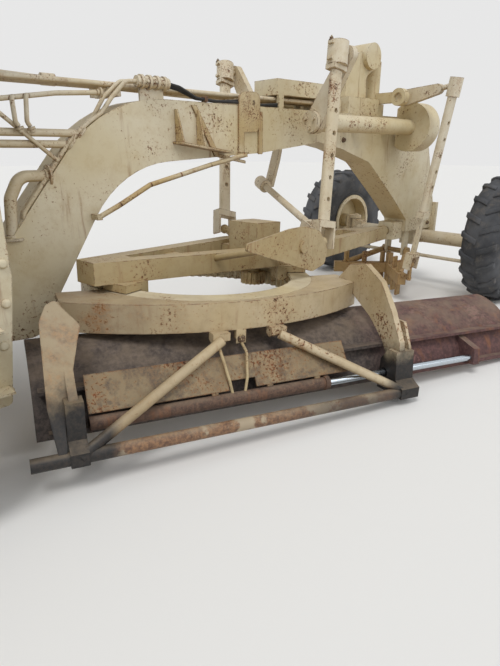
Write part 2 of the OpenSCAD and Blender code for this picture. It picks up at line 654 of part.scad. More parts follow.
// The toothed circle, its yoke, the guard and the barrel of the side shift
tooth_r = circle_r - 75;
tooth_l = 105;
module turn_circle() color(cream) at_circle() difference() {
    translate([0, 0, band_low]) cylinder(r = circle_r, h = band_h, $fn = 96);
    translate([0, 0, band_low + tooth_l - 1]) cylinder(r = tooth_r, h = band_h - tooth_l - 24, $fn = 96);
    translate([0, 0, band_low - 1]) linear_extrude(tooth_l) polygon(teeth(tooth_count, 750, tooth_r - 2));
    translate([0, 0, band_low - 1]) cylinder(r = circle_r - circle_w, h = band_h + 2, $fn = 96);
}

bow_r = 1930;
bow_y = 1040;
arm_left = [[470, -168], [560, -143], [700, -143], [860, -190], [970, -300], [1090, -450],
    [1180, -520], [1190, -600], [1060, -620], [1050, -560], [930, -420], [800, -330], [600, -240],
    [470, -215]];
arm_right = [[430, -150], [560, -20], [740, 10], [920, -80], [1060, -260], [1165, -440], [1190, -600],
    [1060, -620], [1050, -560], [1000, -485], [930, -420], [840, -345], [600, -215], [430, -190]];
arm_face = [[-1190, 40, 30], [-1150, 126, 30], [-1103, 151, 20], [-993, 4, 20], [-1019, -80, 0],
    [-1084, -322, 0], [-1125, -475, 0], [-1138, -670, 20], [-1175, -640, 20], [-1202, -403, 0],
    [-1195, -143, 0]];
foot = [[1035, -800], [1278, -800], [1278, -730], [1205, -690], [1185, -500], [1100, -500],
    [1040, -590]];
shift_v = 1085;
shift_z = -675;
rail_lo = [[990, -745], [1052, -745], [1052, -715], [990, -715]];

// A plate of the blade gear across u, with its outline in v and z
module across(u, w) translate([u, 0, 0]) rotate([90, 0, -90]) linear_extrude(w, center = true) children();
module circle_yoke() color(cream) at_circle() difference() {
    union() {
        intersection() {
            union() {
                translate([0, 0, band_low]) linear_extrude(band_h) difference() {
                    translate([0, bow_y]) circle(r = bow_r, $fn = 128);
                    translate([0, bow_y]) circle(r = bow_r - 30, $fn = 128);
                    translate([-2500, -560]) square([5000, 5000]);
                }
                translate([0, 0, lip_z - 25]) linear_extrude(25) difference() {
                    translate([0, bow_y]) circle(r = bow_r - 29, $fn = 128);
                    translate([-2500, -330]) square([5000, 5000]);
                    circle(r = circle_r + seat, $fn = 96);
                }
            }
            block([-1057, -2000, -700], [1022, 900, 300]);
        }
        across(-1080, 45) polygon(arm_left);
        across(1000, 45) polygon(arm_right);
        across(1085, 24) polygon([[1010, -330], [1080, -330], [1190, -560], [1150, -610], [1080, -560]]);
        across(-1080, 90) polygon(foot);
        across(1020, 150) polygon(foot);
        translate([0, -905, -200]) rotate([-31.6, 0, 0]) upright(arm_face, 30);
        for (u = [-200, 190]) across(u, 110) polygon([[862, band_low + 1], [935, band_low + 1], [935, -365],
            [900, -385], [862, -365]]);
        bar([-200, -940, -360], [-1080, -1255, -760], 30);
        bar([190, -940, -360], [1000, -1255, -760], 30);
        translate([-155, -1240, -765]) rod_x(36, 2300);
    }
    across(0, 4000) polygon([for (p = rail_lo) [p.x + 0.4 * sign(p.x - 1000), p.y + 0.4 * sign(p.y + 730)]]);
    translate([1000, -shift_v, shift_z]) rod_x(33, 400);
}

module blade_guard() color(cream) at_circle() {
    for (s = [[-1005 + seat, -210], [-30, 650]]) across((s[0] + s[1]) / 2, s[1] - s[0])
        polygon([[958, -455], [968, -446], [1086, -619], [1076, -627]]);
    for (u = [-700, -300, 60, 400]) across(u, 40) polygon([[1072, -628], [1078, -636.3], [1090, -636.3],
        [1084, -618]]);
}

module shift_barrel() color(cream) at_circle() difference() {
    union() {
        translate([-265, -shift_v, shift_z]) rod_x(38, 1478);
        translate([465, -shift_v, shift_z]) rod_x(46, 30);
    }
    translate([100, -shift_v, shift_z]) rod_x(25 + pin_gap, 1000);
}

// Moldboard: curved plate, cutting edge, shelf, lower rail and the rod's bracket
mb_c = [528, -849];
mb_r = 500;
module moldboard() color(rust) at_circle() difference() {
    union() {
        across(blade_l / 2 - heel_u, blade_l) difference() {
            translate(mb_c) circle(r = mb_r, $fn = 96);
            translate(mb_c) circle(r = mb_r - blade_t, $fn = 96);
            polygon([mb_c, [2028, mb_c.y + 260], [2028, -3000], [-2000, -3000], [-2000, 1000],
                [mb_c.x + 100, 1000]]);
        }
        across(550, 3500) polygon(rail_lo);
        across(blade_l / 2 - heel_u, blade_l) polygon([[972, -768], [1004, -768], [1003, -750],
            [968, -648], [944, -648]]);
        across(570, 3600) polygon([[880, -535], [985, -525], [985, -505], [880, -515]]);
        across(1800, 60) polygon([[900, -530], [1120, -600], [1130, -720], [990, -740]]);
    }
    translate([1800, -shift_v, shift_z]) rod_x(25 + pin_gap, 80);
}

module side_shift_rod() color(steel) at_circle() {
    translate([945, -shift_v, shift_z]) rod_x(25, 1770);
}

module tilt_crank() {
    facing(5880, 60) hull() {
        translate([-torque_y, tilt_hub.z]) circle(r = 75);
        translate([tilt_ball.y + 165, tilt_ball.z - 26]) circle(r = 46);
    }
    translate([5840, -torque_y, tilt_hub.z]) rod_x(40, 130);
    bar([5910, -700, 2157], tilt_ball, 24);
    translate(tilt_ball) sphere(r = 45);
}
module scarifier_crank() color(cream) tilt_crank();
tilt_l = norm(tilt_foot - tilt_ball);
module scarifier_link() color(cream) hang(tilt_ball, tilt_foot) difference() {
    union() {
        translate([0, 0, -105]) cylinder(r = 62, h = 165);
        translate([0, 0, -tilt_l + 480]) linear_extrude(tilt_l - 584) flat_tube();
        translate([0, 0, -tilt_l + 120]) linear_extrude(700) square([60, 36], center = true);
        translate([-62, -42, -tilt_l + 500]) cube([124, 84, 70]);
        translate([-80, -40, -tilt_l + 85]) cube([160, 80, 45]);
        for (x = [-80, 62]) translate([x, -42, -tilt_l - 45]) cube([18, 84, 132]);
    }
    sphere(r = 45 + ball_gap);
    translate([-28, 12, -80]) cube([56, 120, 112]);
    rotate([-6, 0, 0]) translate([0, 40, 0]) rod_y(30, 100);
    for (i = [0:4]) translate([0, 0, -330 - i * 150]) rod_y(17, 200);
}

scar_apex = [6420, 0, 250];
module scarifier() color(cream) difference() {
    union() {
        both_sides() {
            bar([scar_x - 35, 169, 439], [scar_x - 510, 400, 290], 34);
            translate([scar_x, 156, 450]) rod_y(46, 40);
            along([6420, 0, 250], [5960, 480, 250]) translate([-60, -45, 0]) cube([120, 90,
                norm([460, 480, 0])]);
            for (t = [0.12, 0.45, 0.78]) translate([6420 - 460 * t, 480 * t, 40]) shank();
        }
        translate([6405, 0, 40]) shank();
        translate([scar_x, 0, 450]) rod_y(25, 280);
        bar([5990, -460, 295], [tilt_foot.x, tilt_foot.y, 300], 30);
        translate([tilt_foot.x, tilt_foot.y, 275]) cylinder(r = 22, h = tilt_foot.z - 275);
        translate(tilt_foot) sphere(r = 38);
    }
}
module shank() {
    block([-35, -13, 0], [35, 13, 400]);
}

module lamps() color("white") {
    for (s = [1, -1]) translate([cab_x1 + 110 + seat + 30, s * 520, roof_z + 25]) rod_x(75, 60);
}

// The machine set on its tow pin's eye
module placed() translate([tow_back, 0, -tow_z]) children();

placed() main_frame();
placed() front_bolster();
placed() side_bracket();
placed() rear_frame();
placed() transmission_case();
placed() rear_axle();
placed() tandem_cases();
placed() engine_block();
placed() hood();
placed() radiator();
placed() exhaust();
placed() platform();
placed() cab_body();
placed() cab_roof();
placed() cab_door_left();
placed() cab_door_right();
placed() seat();
placed() console();
placed() front_axle();
placed() knuckle_left();
placed() knuckle_right();
placed() tie_rod();
placed() rim_front_left();
placed() rim_front_right();
placed() rim_mid_left();
placed() rim_mid_right();
placed() rim_rear_left();
placed() rim_rear_right();
placed() tyre_front_left();
placed() tyre_front_right();
placed() tyre_mid_left();
placed() tyre_mid_right();
placed() tyre_rear_left();
placed() tyre_rear_right();
placed() gear_housings();
placed() gear_cases();
placed() control_shafts();
placed() shift_crank();
placed() lift_crank_left();
placed() lift_crank_right();
placed() lift_link_left();
placed() lift_link_right();
placed() shift_link();
placed() drawbar();
placed() turn_circle();
placed() circle_yoke();
placed() blade_guard();
placed() shift_barrel();
placed() moldboard();
placed() side_shift_rod();
placed() scarifier_crank();
placed() scarifier_link();
placed() scarifier();
placed() lamps();
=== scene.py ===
# %% [markdown]
# # Dressing a motor grader
#
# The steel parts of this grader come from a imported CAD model, which is loaded as a fixed frame.
# Blender adds what the CAD leaves out: worn paint, rust, oil, the tread of the tyres, bolts,
# pipes, glass and a soft seat. Every piece rides on the body that carries it, so it moves with
# the joints. Lengths are in metres, and points of the drawing are in millimetres.

# %% Load the frame
import math

import bpy
from mathutils import Matrix, Vector


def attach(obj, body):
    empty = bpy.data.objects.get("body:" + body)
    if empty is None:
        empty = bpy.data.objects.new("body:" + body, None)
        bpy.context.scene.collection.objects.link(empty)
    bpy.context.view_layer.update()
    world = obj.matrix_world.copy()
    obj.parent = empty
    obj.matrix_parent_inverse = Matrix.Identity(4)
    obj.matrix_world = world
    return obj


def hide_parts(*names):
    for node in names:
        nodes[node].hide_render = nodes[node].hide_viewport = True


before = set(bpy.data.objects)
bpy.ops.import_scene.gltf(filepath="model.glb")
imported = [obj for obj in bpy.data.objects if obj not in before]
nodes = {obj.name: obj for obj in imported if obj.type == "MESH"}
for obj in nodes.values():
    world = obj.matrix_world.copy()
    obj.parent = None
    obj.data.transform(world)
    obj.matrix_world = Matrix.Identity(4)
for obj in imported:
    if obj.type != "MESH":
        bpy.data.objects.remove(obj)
scene = bpy.context.scene
show = scene.collection.objects.link


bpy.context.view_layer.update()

# %% [markdown]
# ## Where things are
#
# The source of the CAD was drawn in millimetres, from the middle between the rear wheels and up
# from the ground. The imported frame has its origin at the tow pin. One helper turns a drawing
# point into a frame point. Two more do so for the drawbar, which slants down from its ball, and
# for the blade gear, which is turned on the drawbar.

# %% Points of the drawing in the frame
TOW_BACK, TOW_UP = 1750, 760
GROUND = -TOW_UP / 1000
BALL_TO_RING = 3.11
BAR_SWING, BAR_TILT, BLADE_ANGLE = 7, 3, -23  # degrees
RIGHT, UP, AHEAD, BACK = (0, -1, 0), (0, 0, 1), (1, 0, 0), (-1, 0, 0)
BOTH_SIDES = ((-1, "right"), (1, "left"))


def at(x, y, z):
    """A point of the drawing, in millimetres, as a point of the frame."""
    return Vector((x + TOW_BACK, y, z - TOW_UP)) / 1000


def turned(degrees, axis):
    """A turn round an axis of the frame."""
    return Matrix.Rotation(math.radians(degrees), 4, axis)


bar_place = Matrix.Translation(at(6335, 0, 709)) @ turned(BAR_SWING, "Z") @ turned(BAR_TILT, "Y")
ring_place = bar_place @ Matrix.Translation((-BALL_TO_RING, 0, 0)) @ turned(BLADE_ANGLE, "Z")


def on_bar(x, y, z):
    """A point given from the drawbar's ball, along the drawbar."""
    return bar_place @ (Vector((x, y, z)) / 1000)


def on_ring(u, v, z):
    """A point given along the blade (u), ahead of it (v, to the right) and up (z)."""
    return ring_place @ (Vector((u, -v, z)) / 1000)


print("ring centre", on_ring(0, 0, 0))

# %% [markdown]
# ## Camera, floor and light
#
# The photograph was taken with a phone, standing at the right side of the machine and looking
# forward and down across the blade. The camera stands at the same place with the same field of
# view. The background is bright for what the camera sees, be it mirrored or through glass. The
# rays that light the machine see a softer sky, so the pale paint doesn't burn out.

# %% Camera
eye = bpy.data.cameras.new("camera")
eye.lens = 27.03
eye.sensor_width = 36
eye.clip_end = 300
camera = bpy.data.objects.new("camera", eye)
show(camera)
camera.location = (2.80, -3.40, 0.84)
camera.rotation_euler = (math.radians(70), 0, math.radians(-42))
scene.camera = camera
scene.view_settings.view_transform = "Standard"
print("camera with a lens of", round(eye.lens, 2), "mm")

# %% Light
world = bpy.data.worlds.new("sky")
scene.world = world
world.use_nodes = True
sky = world.node_tree
sky.nodes.clear()
rays = sky.nodes.new("ShaderNodeLightPath").outputs
seen = rays["Is Camera Ray"]
for ray in ("Is Glossy Ray", "Is Transmission Ray"):
    either = sky.nodes.new("ShaderNodeMath")
    either.operation = "MAXIMUM"
    sky.links.new(seen, either.inputs[0])
    sky.links.new(rays[ray], either.inputs[1])
    seen = either.outputs[0]
soft = sky.nodes.new("ShaderNodeBackground")
soft.inputs["Color"].default_value = (0.93, 0.96, 1, 1)
soft.inputs["Strength"].default_value = 0.62
bright = sky.nodes.new("ShaderNodeBackground")
blend = sky.nodes.new("ShaderNodeMixShader")
result = sky.nodes.new("ShaderNodeOutputWorld")
sky.links.new(seen, blend.inputs["Fac"])
sky.links.new(soft.outputs[0], blend.inputs[1])
sky.links.new(bright.outputs[0], blend.inputs[2])
sky.links.new(blend.outputs[0], result.inputs["Surface"])


def sun(name, strength, height, side, softness):
    """A lamp far away, with its height, side and width of light in degrees."""
    data = bpy.data.lights.new(name, "SUN")
    data.energy = strength
    data.angle = math.radians(softness)
    lamp = bpy.data.objects.new(name, data)
    lamp.rotation_euler = (math.radians(90 - height), 0, math.radians(side))
    show(lamp)


sun("high_light", 1.25, 62, -60, 22)
sun("side_light", 0.45, 32, 15, 40)

# %% [markdown]
# ## Finishes
#
# A machine that has stood outdoors for decades isn't one colour. Its cream paint has faded in
# large soft patches, it has flaked along the edges and in specks, rust has run down from the
# flakes, and dust lies on whatever faces up. Each of these is a mask made from noise, and the
# masks decide how much of each colour shows. Shade is painted in as well: faces that look down
# are darker, the drawbar and the yoke have darker copies of the cream paint, and the blade is
# darkened behind the yoke. All patterns read Object coordinates, so that they stay on the steel
# as it moves.

# %% Helpers that lay out shader nodes
EDGE_RADIUS = 0.012


def colour(text):
    """The linear colour of a #rrggbb text."""
    parts = [int(text[i:i + 2], 16) / 255 for i in (1, 3, 5)]
    linear = [p / 12.92 if p <= 0.04045 else ((p + 0.055) / 1.055) ** 2.4 for p in parts]
    return (*linear, 1)


class Finish:
    """A material under construction, with short names for the nodes it needs."""

    def __init__(self, name):
        self.material = bpy.data.materials.new(name)
        self.material.use_nodes = True
        self.tree = self.material.node_tree
        self.tree.nodes.clear()
        self.shader = self.add("ShaderNodeBsdfPrincipled")
        self.add("ShaderNodeOutputMaterial", {"Surface": self.shader.outputs[0]})
        self.where = self.add("ShaderNodeTexCoord").outputs["Object"]

    def put(self, socket, value):
        """Links the socket where the value is a socket too, and sets it otherwise."""
        if isinstance(value, bpy.types.NodeSocket):
            self.tree.links.new(value, socket)
        else:
            socket.default_value = colour(value) if isinstance(value, str) else value

    def add(self, kind, values=(), **settings):
        """A new node with its settings, and with values or links for its inputs."""
        node = self.tree.nodes.new(kind)
        for key, value in settings.items():
            setattr(node, key, value)
        for socket, value in dict(values).items():
            self.put(node.inputs[socket], value)
        return node

    def stretch(self, x, y, z):
        """Object coordinates with a scale for each axis."""
        values = {"Vector": self.where, "Scale": (x, y, z)}
        return self.add("ShaderNodeMapping", values).outputs[0]

    def noise(self, scale, detail, rough=0.55, place=None, warp=0.0):
        values = {"Vector": place or self.where, "Scale": scale, "Detail": detail,
                  "Roughness": rough, "Distortion": warp}
        return self.add("ShaderNodeTexNoise", values).outputs[0]

    def ramp(self, value, low, high, start=0.0, end=1.0):
        """A smooth change from start to end while the value goes from low to high."""
        values = enumerate((value, low, high, start, end))
        return self.add("ShaderNodeMapRange", values, interpolation_type="SMOOTHSTEP").outputs[0]

    def math(self, kind, a, b=0.0):
        """A sum or a difference is kept between 0 and 1."""
        clamp = kind in ("ADD", "SUBTRACT")
        return self.add("ShaderNodeMath", {0: a, 1: b}, operation=kind, use_clamp=clamp).outputs[0]

    def times(self, a, b):
        return self.math("MULTIPLY", a, b)

    def mix(self, factor, a, b):
        """The colour a where the factor is 0, and b where it's 1."""
        return self.add("ShaderNodeMix", {0: factor, 6: a, 7: b}, data_type="RGBA").outputs[2]

    def edges(self):
        """1 where the surface turns a sharp edge close by."""
        bevel = self.add("ShaderNodeBevel", {"Radius": EDGE_RADIUS}, samples=4).outputs[0]
        face = self.add("ShaderNodeNewGeometry").outputs["Normal"]
        dot = self.add("ShaderNodeVectorMath", {0: bevel, 1: face}, operation="DOT_PRODUCT")
        return self.ramp(dot.outputs["Value"], 0.995, 0.86)

    def facing(self, low, high):
        """0 to 1 as the surface turns from facing down (low) to facing up (high)."""
        normal = self.add("ShaderNodeNewGeometry").outputs["True Normal"]
        return self.ramp(self.add("ShaderNodeSeparateXYZ", {0: normal}).outputs["Z"], low, high)

    def blade_gear(self, axis):
        """A coordinate along the blade gear's own axes, in metres."""
        values = {"Vector": self.where, "Location": ring_place.translation,
                  "Rotation": ring_place.to_euler()}
        place = self.add("ShaderNodeMapping", values, vector_type="TEXTURE").outputs[0]
        return self.add("ShaderNodeSeparateXYZ", {0: place}).outputs[axis]

    def bump(self, height, strength, distance):
        values = {"Strength": strength, "Distance": distance, "Height": height}
        self.put(self.shader.inputs["Normal"], self.add("ShaderNodeBump", values).outputs[0])

    def done(self, tint, rough, metal=0.0):
        for key, value in (("Base Color", tint), ("Roughness", rough), ("Metallic", metal)):
            self.put(self.shader.inputs[key], value)
        return self.material


# %% Old paint and rusted steel
RUN, HALO, DUST = "#8a5a34", "#a8743e", "#9c8a72"
RUST_DARK, RUST_LIGHT = "#3a2418", "#7d4a2a"
# The last two colours are painted shade for the blade.
STEEL_RUN, STEEL_DUST, SHADE_DARK, SHADE_LIGHT = "#94603a", "#8c7a66", "#3a3330", "#655a53"


def worn_paint(name, fresh, faded, underside_shade_and_mottle, chips=0.5, runs=0.5, edge=0.5, dust=0.4, size=1.0,
               stripped=()):
    """Old paint: fading, flaked specks and edges, rust runs, dust where it faces up,
    and painted shade on faces that look down.

    stripped holds functions that give a mask and the colour that shows there.
    """
    f = Finish(name)
    tint = f.mix(f.ramp(f.noise(1.1 * size, 3), 0.35, 0.68), fresh, faded)
    # Painted shade: faces that look down turn towards the third colour.
    tint = f.mix(f.times(f.facing(-0.1, -0.9), 0.75), tint, underside_shade_and_mottle)
    mottle = f.ramp(f.noise(9 * size, 6, 0.7), 0.42, 0.72)
    # The same third colour also shows in soft mottles, an unevenness of the paint itself.
    tint = f.mix(f.times(mottle, 0.35), tint, underside_shade_and_mottle)
    speck = f.noise(46 * size, 8, 0.72)
    where_bare = f.noise(2.6 * size, 4, 0.6)
    flake = f.math("ADD", f.times(speck, 0.62), f.times(where_bare, 0.38))
    flaked = f.ramp(flake, 0.63 - 0.09 * chips, 0.66 - 0.085 * chips)
    rubbed = f.ramp(f.noise(13 * size, 6, 0.7), 0.62 - 0.3 * edge, 0.72 - 0.22 * edge)
    bare = f.math("MAXIMUM", flaked, f.times(f.edges(), rubbed))
    run = f.noise(2.2, 6, 0.62, f.stretch(7, 7, 0.7), 0.3)
    run = f.times(f.ramp(run, 0.62 - 0.1 * runs, 0.78), f.facing(0.9, 0.3))
    tint = f.mix(f.times(run, 0.75), tint, RUN)
    halo = f.ramp(flake, 0.585 - 0.09 * chips, 0.64 - 0.085 * chips)
    tint = f.mix(f.times(halo, 0.3), tint, HALO)
    rust = f.mix(f.ramp(f.noise(60, 5), 0.35, 0.65), RUST_DARK, RUST_LIGHT)
    tint = f.mix(bare, tint, rust)
    for bared in stripped:
        mask, raw = bared(f, speck)
        tint = f.mix(mask, tint, raw)
    lying = f.times(f.facing(0.55, 0.98), f.ramp(f.noise(5, 6, 0.65), 0.35, 0.7))
    tint = f.mix(f.times(lying, dust), tint, DUST)
    rough = f.math("ADD", f.times(bare, 0.3), f.ramp(speck, 0.3, 0.8, 0.48, 0.66))
    height = f.math("SUBTRACT", f.times(f.noise(130, 4), 0.3), f.times(bare, 0.8))
    f.bump(height, 0.5, 0.0016)
    return f.done(tint, rough)


def rusted(name, dark, light, remnant, paint, size=1.0, shade_mask=None):
    """Steel that has lost most of its paint, with remnants of it left in patches.

    The last argument is a function that masks where painted shade darkens the steel.
    """
    f = Finish(name)
    grain = f.noise(34 * size, 8, 0.7)
    tint = f.mix(f.ramp(grain, 0.35, 0.68), dark, light)
    run = f.noise(2.0, 6, 0.65, f.stretch(6, 6, 0.9), 0.4)
    tint = f.mix(f.times(f.ramp(run, 0.5, 0.74), 0.5), tint, STEEL_RUN)
    left = f.math("ADD", f.times(f.noise(3.1 * size, 5, 0.62), 0.55), f.times(grain, 0.45))
    kept = f.ramp(left, 0.66 - 0.18 * paint, 0.69 - 0.18 * paint)
    tint = f.mix(kept, tint, remnant)
    lying = f.times(f.facing(0.5, 0.98), f.ramp(f.noise(6, 6, 0.65), 0.3, 0.65))
    # Painted shade: where the mask is 1, the steel turns to the two dark shade colours.
    if shade_mask:
        tint = f.mix(shade_mask(f), tint, f.mix(f.ramp(grain, 0.35, 0.7), SHADE_DARK, SHADE_LIGHT))
    tint = f.mix(f.times(lying, 0.55), tint, STEEL_DUST)
    f.bump(f.math("ADD", f.times(grain, 0.7), f.times(kept, 0.3)), 0.6, 0.0022)
    return f.done(tint, f.ramp(grain, 0.2, 0.8, 0.75, 0.93))


# %% Paints
# The third colour of each paint is its painted shade on faces that look down, and its mottle.
cream = worn_paint("cream_paint", "#d6cbb0", "#cdbd96", "#b49a6a", edge=0.55, dust=0.3)
cream_links = worn_paint("cream_paint_links", "#d6cbb4", "#cdbe9f", "#b09669",
                         chips=0.62, runs=0.6, edge=0.7, dust=0.35, size=1.5)
# The drawbar's paint is the cream made darker, as painted shade where the machine's shadow falls.
shaded_bar_paint = worn_paint("cream_paint_drawbar_shaded", "#b8a680", "#ab9568", "#8c7148",
                       chips=0.6, runs=0.7, edge=0.6, dust=0.5, size=1.2)
bracket_paint = worn_paint("cream_paint_bracket", "#cdbf9f", "#b8a070", "#8a6b44",
                           chips=0.8, runs=1.0, edge=0.9, dust=0.4, size=1.6)
ochre = worn_paint("ochre_paint", "#b99a62", "#a5875a", "#7d5f38",
                   chips=0.72, runs=0.8, edge=0.75, dust=0.5, size=1.2)
print("paints", len(bpy.data.materials))

# %% Places where the paint is gone, and painted shade on the blade


def grimy(f, speck):
    """Large soft patches of grime and surface rust."""
    patch = f.times(f.ramp(f.noise(7, 7, 0.68), 0.45, 0.58), 0.72)
    return patch, f.mix(f.ramp(speck, 0.4, 0.6), "#40332a", "#755c42")


def older_left(f, speck):
    """The yoke's left arm and the left of its bow, where the paint is dull and stained."""
    aside = f.math("ADD", f.times(f.blade_gear("X"), -0.5), f.times(f.noise(3, 5, 0.7), 0.5))
    stain = f.ramp(f.noise(3.2, 7, 0.72), 0.46, 0.6)
    return (f.times(f.ramp(aside, 0.32, 0.7), 0.62),
            f.mix(stain, "#8f7d62", f.mix(f.ramp(speck, 0.4, 0.6), "#5a3d29", "#946a42")))


def low_on_yoke(f, speck):
    """The yoke's low tube, with little paint left, and darker to the right."""
    level = f.math("SUBTRACT", f.times(f.noise(7, 5, 0.65), 0.16), f.blade_gear("Z"))
    raw = f.mix(f.ramp(speck, 0.36, 0.62), "#5b4132", "#8f6c4d")
    raw = f.mix(f.ramp(f.noise(3.4, 5, 0.65), 0.5, 0.56), raw, "#a3937a")
    right = f.ramp(f.blade_gear("X"), -0.1, 0.5)
    return f.ramp(level, 0.72, 0.83), f.mix(f.times(right, 0.75), raw, "#3d342e")


def feet_of_yoke(f, speck):
    """The outer ends of the yoke, black with old grease."""
    level = f.math("SUBTRACT", f.times(f.noise(5, 5, 0.65), 0.3), f.blade_gear("Z"))
    aside = f.ramp(f.math("ABSOLUTE", f.blade_gear("X")), 0.84, 0.94)
    grease = f.mix(f.ramp(speck, 0.4, 0.65), "#151413", "#332c27")
    return f.times(f.ramp(level, 0.56, 0.72), aside), grease


def shade_behind_yoke(f):
    """Painted shade on the blade behind the yoke and to its left, fading to the right."""
    along = f.math("ADD", f.times(f.blade_gear("X"), 0.25), f.times(f.noise(2.4, 5, 0.65), 0.15))
    return f.ramp(along, 0.4, 0.27)


# The yoke's paint is the cream made darker too, as painted shade, with its stains on top.
shaded_yoke_paint = worn_paint("cream_paint_yoke_shaded", "#c6b698", "#b8a37c", "#8f7652",
                        chips=0.62, runs=0.7, edge=0.65, dust=0.45, size=1.1,
                        stripped=(older_left, low_on_yoke, feet_of_yoke))
stained = worn_paint("guard_paint", "#8c7a5b", "#776244", "#57442f",
                     chips=0.95, runs=1.0, edge=0.8, dust=0.5, size=1.3, stripped=(grimy,))
# The blade is darkened behind the yoke as painted shade.
blade_steel = rusted("maroon_paint", "#4b3433", "#6e4f4b", "#7c5a55", paint=0.5,
                     shade_mask=shade_behind_yoke)
barrel_steel = rusted("barrel_steel", "#4b3a31", "#705747", "#8d7a5e", paint=0.35, size=1.6)
bolt_steel = rusted("bolt_steel", "#4a382c", "#7b634c", "#bba679", paint=0.75, size=2.2)
print("finishes so far", len(bpy.data.materials))

# %% [markdown]
# Dark steel is oily and holds grit, a chromed rod is smooth with a blue-white sheen, and rubber
# that has weathered is grey and matt with fine cracks. Glass is nearly clear, with a thin film of
# dust.

# %% Dark steel and chrome


def oily(name, dark, light, rough=0.5):
    """Dark steel with grit in it, shiny where it's wet with oil."""
    f = Finish(name)
    grit = f.noise(26, 8, 0.7)
    tint = f.mix(f.ramp(grit, 0.4, 0.7), dark, light)
    wet = f.ramp(f.noise(3.5, 3), 0.4, 0.65)
    tint = f.mix(f.times(wet, 0.5), tint, "#16120f")
    f.bump(grit, 0.4, 0.0015)
    return f.done(tint, f.ramp(wet, 0, 1, rough + 0.2, rough - 0.15))


dark_steel = oily("dark_steel", "#2a241f", "#4d3f33")
soot = oily("engine_grime", "#3a2f24", "#6b563c", 0.6)
f = Finish("chrome_rod")
scratch = f.noise(30, 6, 0.7, f.stretch(1, 12, 12))
chrome = f.done(f.mix(f.ramp(scratch, 0.45, 0.75), "#c9d2da", "#8d979f"),
                f.ramp(scratch, 0.3, 0.8, 0.12, 0.38), 1.0)
print("steels", dark_steel.name, soot.name, chrome.name)

# %% Rubber, seat cover, glass and hose
f = Finish("tyre_rubber")
crack = f.noise(70, 8, 0.8)
tint = f.mix(f.ramp(f.noise(4, 5), 0.35, 0.7), "#3b3c3f", "#56575a")
tint = f.mix(f.times(f.ramp(f.noise(9, 6, 0.7), 0.5, 0.75), 0.5), tint, "#7b7266")
f.bump(crack, 0.35, 0.0015)
rubber = f.done(tint, f.ramp(crack, 0.2, 0.8, 0.78, 0.95))
f = Finish("seat_cover")
grain = f.add("ShaderNodeTexVoronoi", {"Vector": f.where, "Scale": 420})
tint = f.mix(f.ramp(f.noise(6, 5), 0.35, 0.7), "#1d1c1c", "#34302d")
f.bump(grain.outputs["Distance"], 0.25, 0.0008)
seat_cover = f.done(tint, f.ramp(f.noise(18, 4), 0.3, 0.7, 0.42, 0.62))
f = Finish("lamp_glass")
f.shader.inputs["Transmission Weight"].default_value = 0.9
f.shader.inputs["IOR"].default_value = 1.45
film = f.ramp(f.noise(4, 6, 0.7), 0.42, 1.0)
glass = f.done(f.mix(film, "#e4ece8", "#a8a08c"), f.ramp(film, 0, 1, 0.05, 0.5))
f = Finish("black_hose")
rub = f.noise(24, 6, 0.65)
f.bump(rub, 0.2, 0.001)
hose_black = f.done(f.mix(f.ramp(rub, 0.4, 0.7), "#191919", "#3a3733"),
                    f.ramp(rub, 0.3, 0.7, 0.5, 0.8))
print("finishes", len(bpy.data.materials))

# %% [markdown]
# ## Finishes on the CAD parts
#
# A CAD part whose shape is right stays as it is, and only its material changes. The parts are
# listed by finish, so that every one is named once.

# %% Give every CAD part its finish
dressed = {
    cream: ["main_frame", "front_bolster", "rear_frame", "hood", "radiator", "cab_body",
            "cab_roof", "cab_door_left", "cab_door_right", "platform", "console", "gear_housings",
            "gear_cases", "turn_circle"] + [n for n in nodes if n.startswith("rim_")],
    shaded_yoke_paint: ["circle_yoke"],
    cream_links: ["lift_crank_left", "lift_crank_right", "lift_link_left", "lift_link_right",
                  "shift_crank", "shift_link", "scarifier_crank", "scarifier_link",
                  "control_shafts", "knuckle_left", "knuckle_right", "tie_rod", "front_axle"],
    shaded_bar_paint: ["drawbar"],
    bracket_paint: ["side_bracket"],
    ochre: ["transmission_case", "rear_axle", "tandem_cases", "scarifier"],
    stained: ["blade_guard"],
    blade_steel: ["moldboard"],
    barrel_steel: ["shift_barrel"],
    chrome: ["side_shift_rod"],
    dark_steel: ["exhaust"],
    soot: ["engine_block"],
    rubber: [n for n in nodes if n.startswith("tyre_")],
    seat_cover: ["seat"],
    glass: ["lamps"],
}
given = set()
for material, names in dressed.items():
    for name in names:
        given.add(name)
        nodes[name].data.materials.clear()
        nodes[name].data.materials.append(material)
print("CAD parts without a finish", sorted(set(nodes) - given))

# %% [markdown]
# ## Tools for the added pieces
#
# Each added piece starts as one of Blender's primitives and is shaped in edit mode. A few helpers
# keep the cells short: they start a cylinder or a block, select faces by a test on their centre
# and normal, round edges, join copies of a finished shape, and give a finished piece its finish
# and the body that it rides on.

# %% Helpers that select, settle and soften
ALONG = 0.9  # the least share of an axis in the normal of a face that looks along it


def mode(name):
    bpy.ops.object.mode_set(mode=name)


def clear():
    """Back to object mode with nothing selected, because an operator acts on all that is."""
    if bpy.context.object and bpy.context.object.mode != "OBJECT":
        mode("OBJECT")
    bpy.ops.object.select_all(action="DESELECT")


def choose(shape, test):
    """Edit mode with those faces selected whose centre and normal pass the test."""
    mode("EDIT")
    bpy.ops.mesh.select_mode(type="FACE")
    bpy.ops.mesh.select_all(action="DESELECT")
    mode("OBJECT")
    for face in shape.data.polygons:
        face.select = test(face.center, face.normal)
    mode("EDIT")


def on_top(centre, normal):
    """The test for faces that look up."""
    return normal.z > ALONG


def push_up(distance):
    """Extrudes the selected faces along z."""
    bpy.ops.mesh.extrude_region_move(TRANSFORM_OT_translate={"value": (0, 0, distance)})


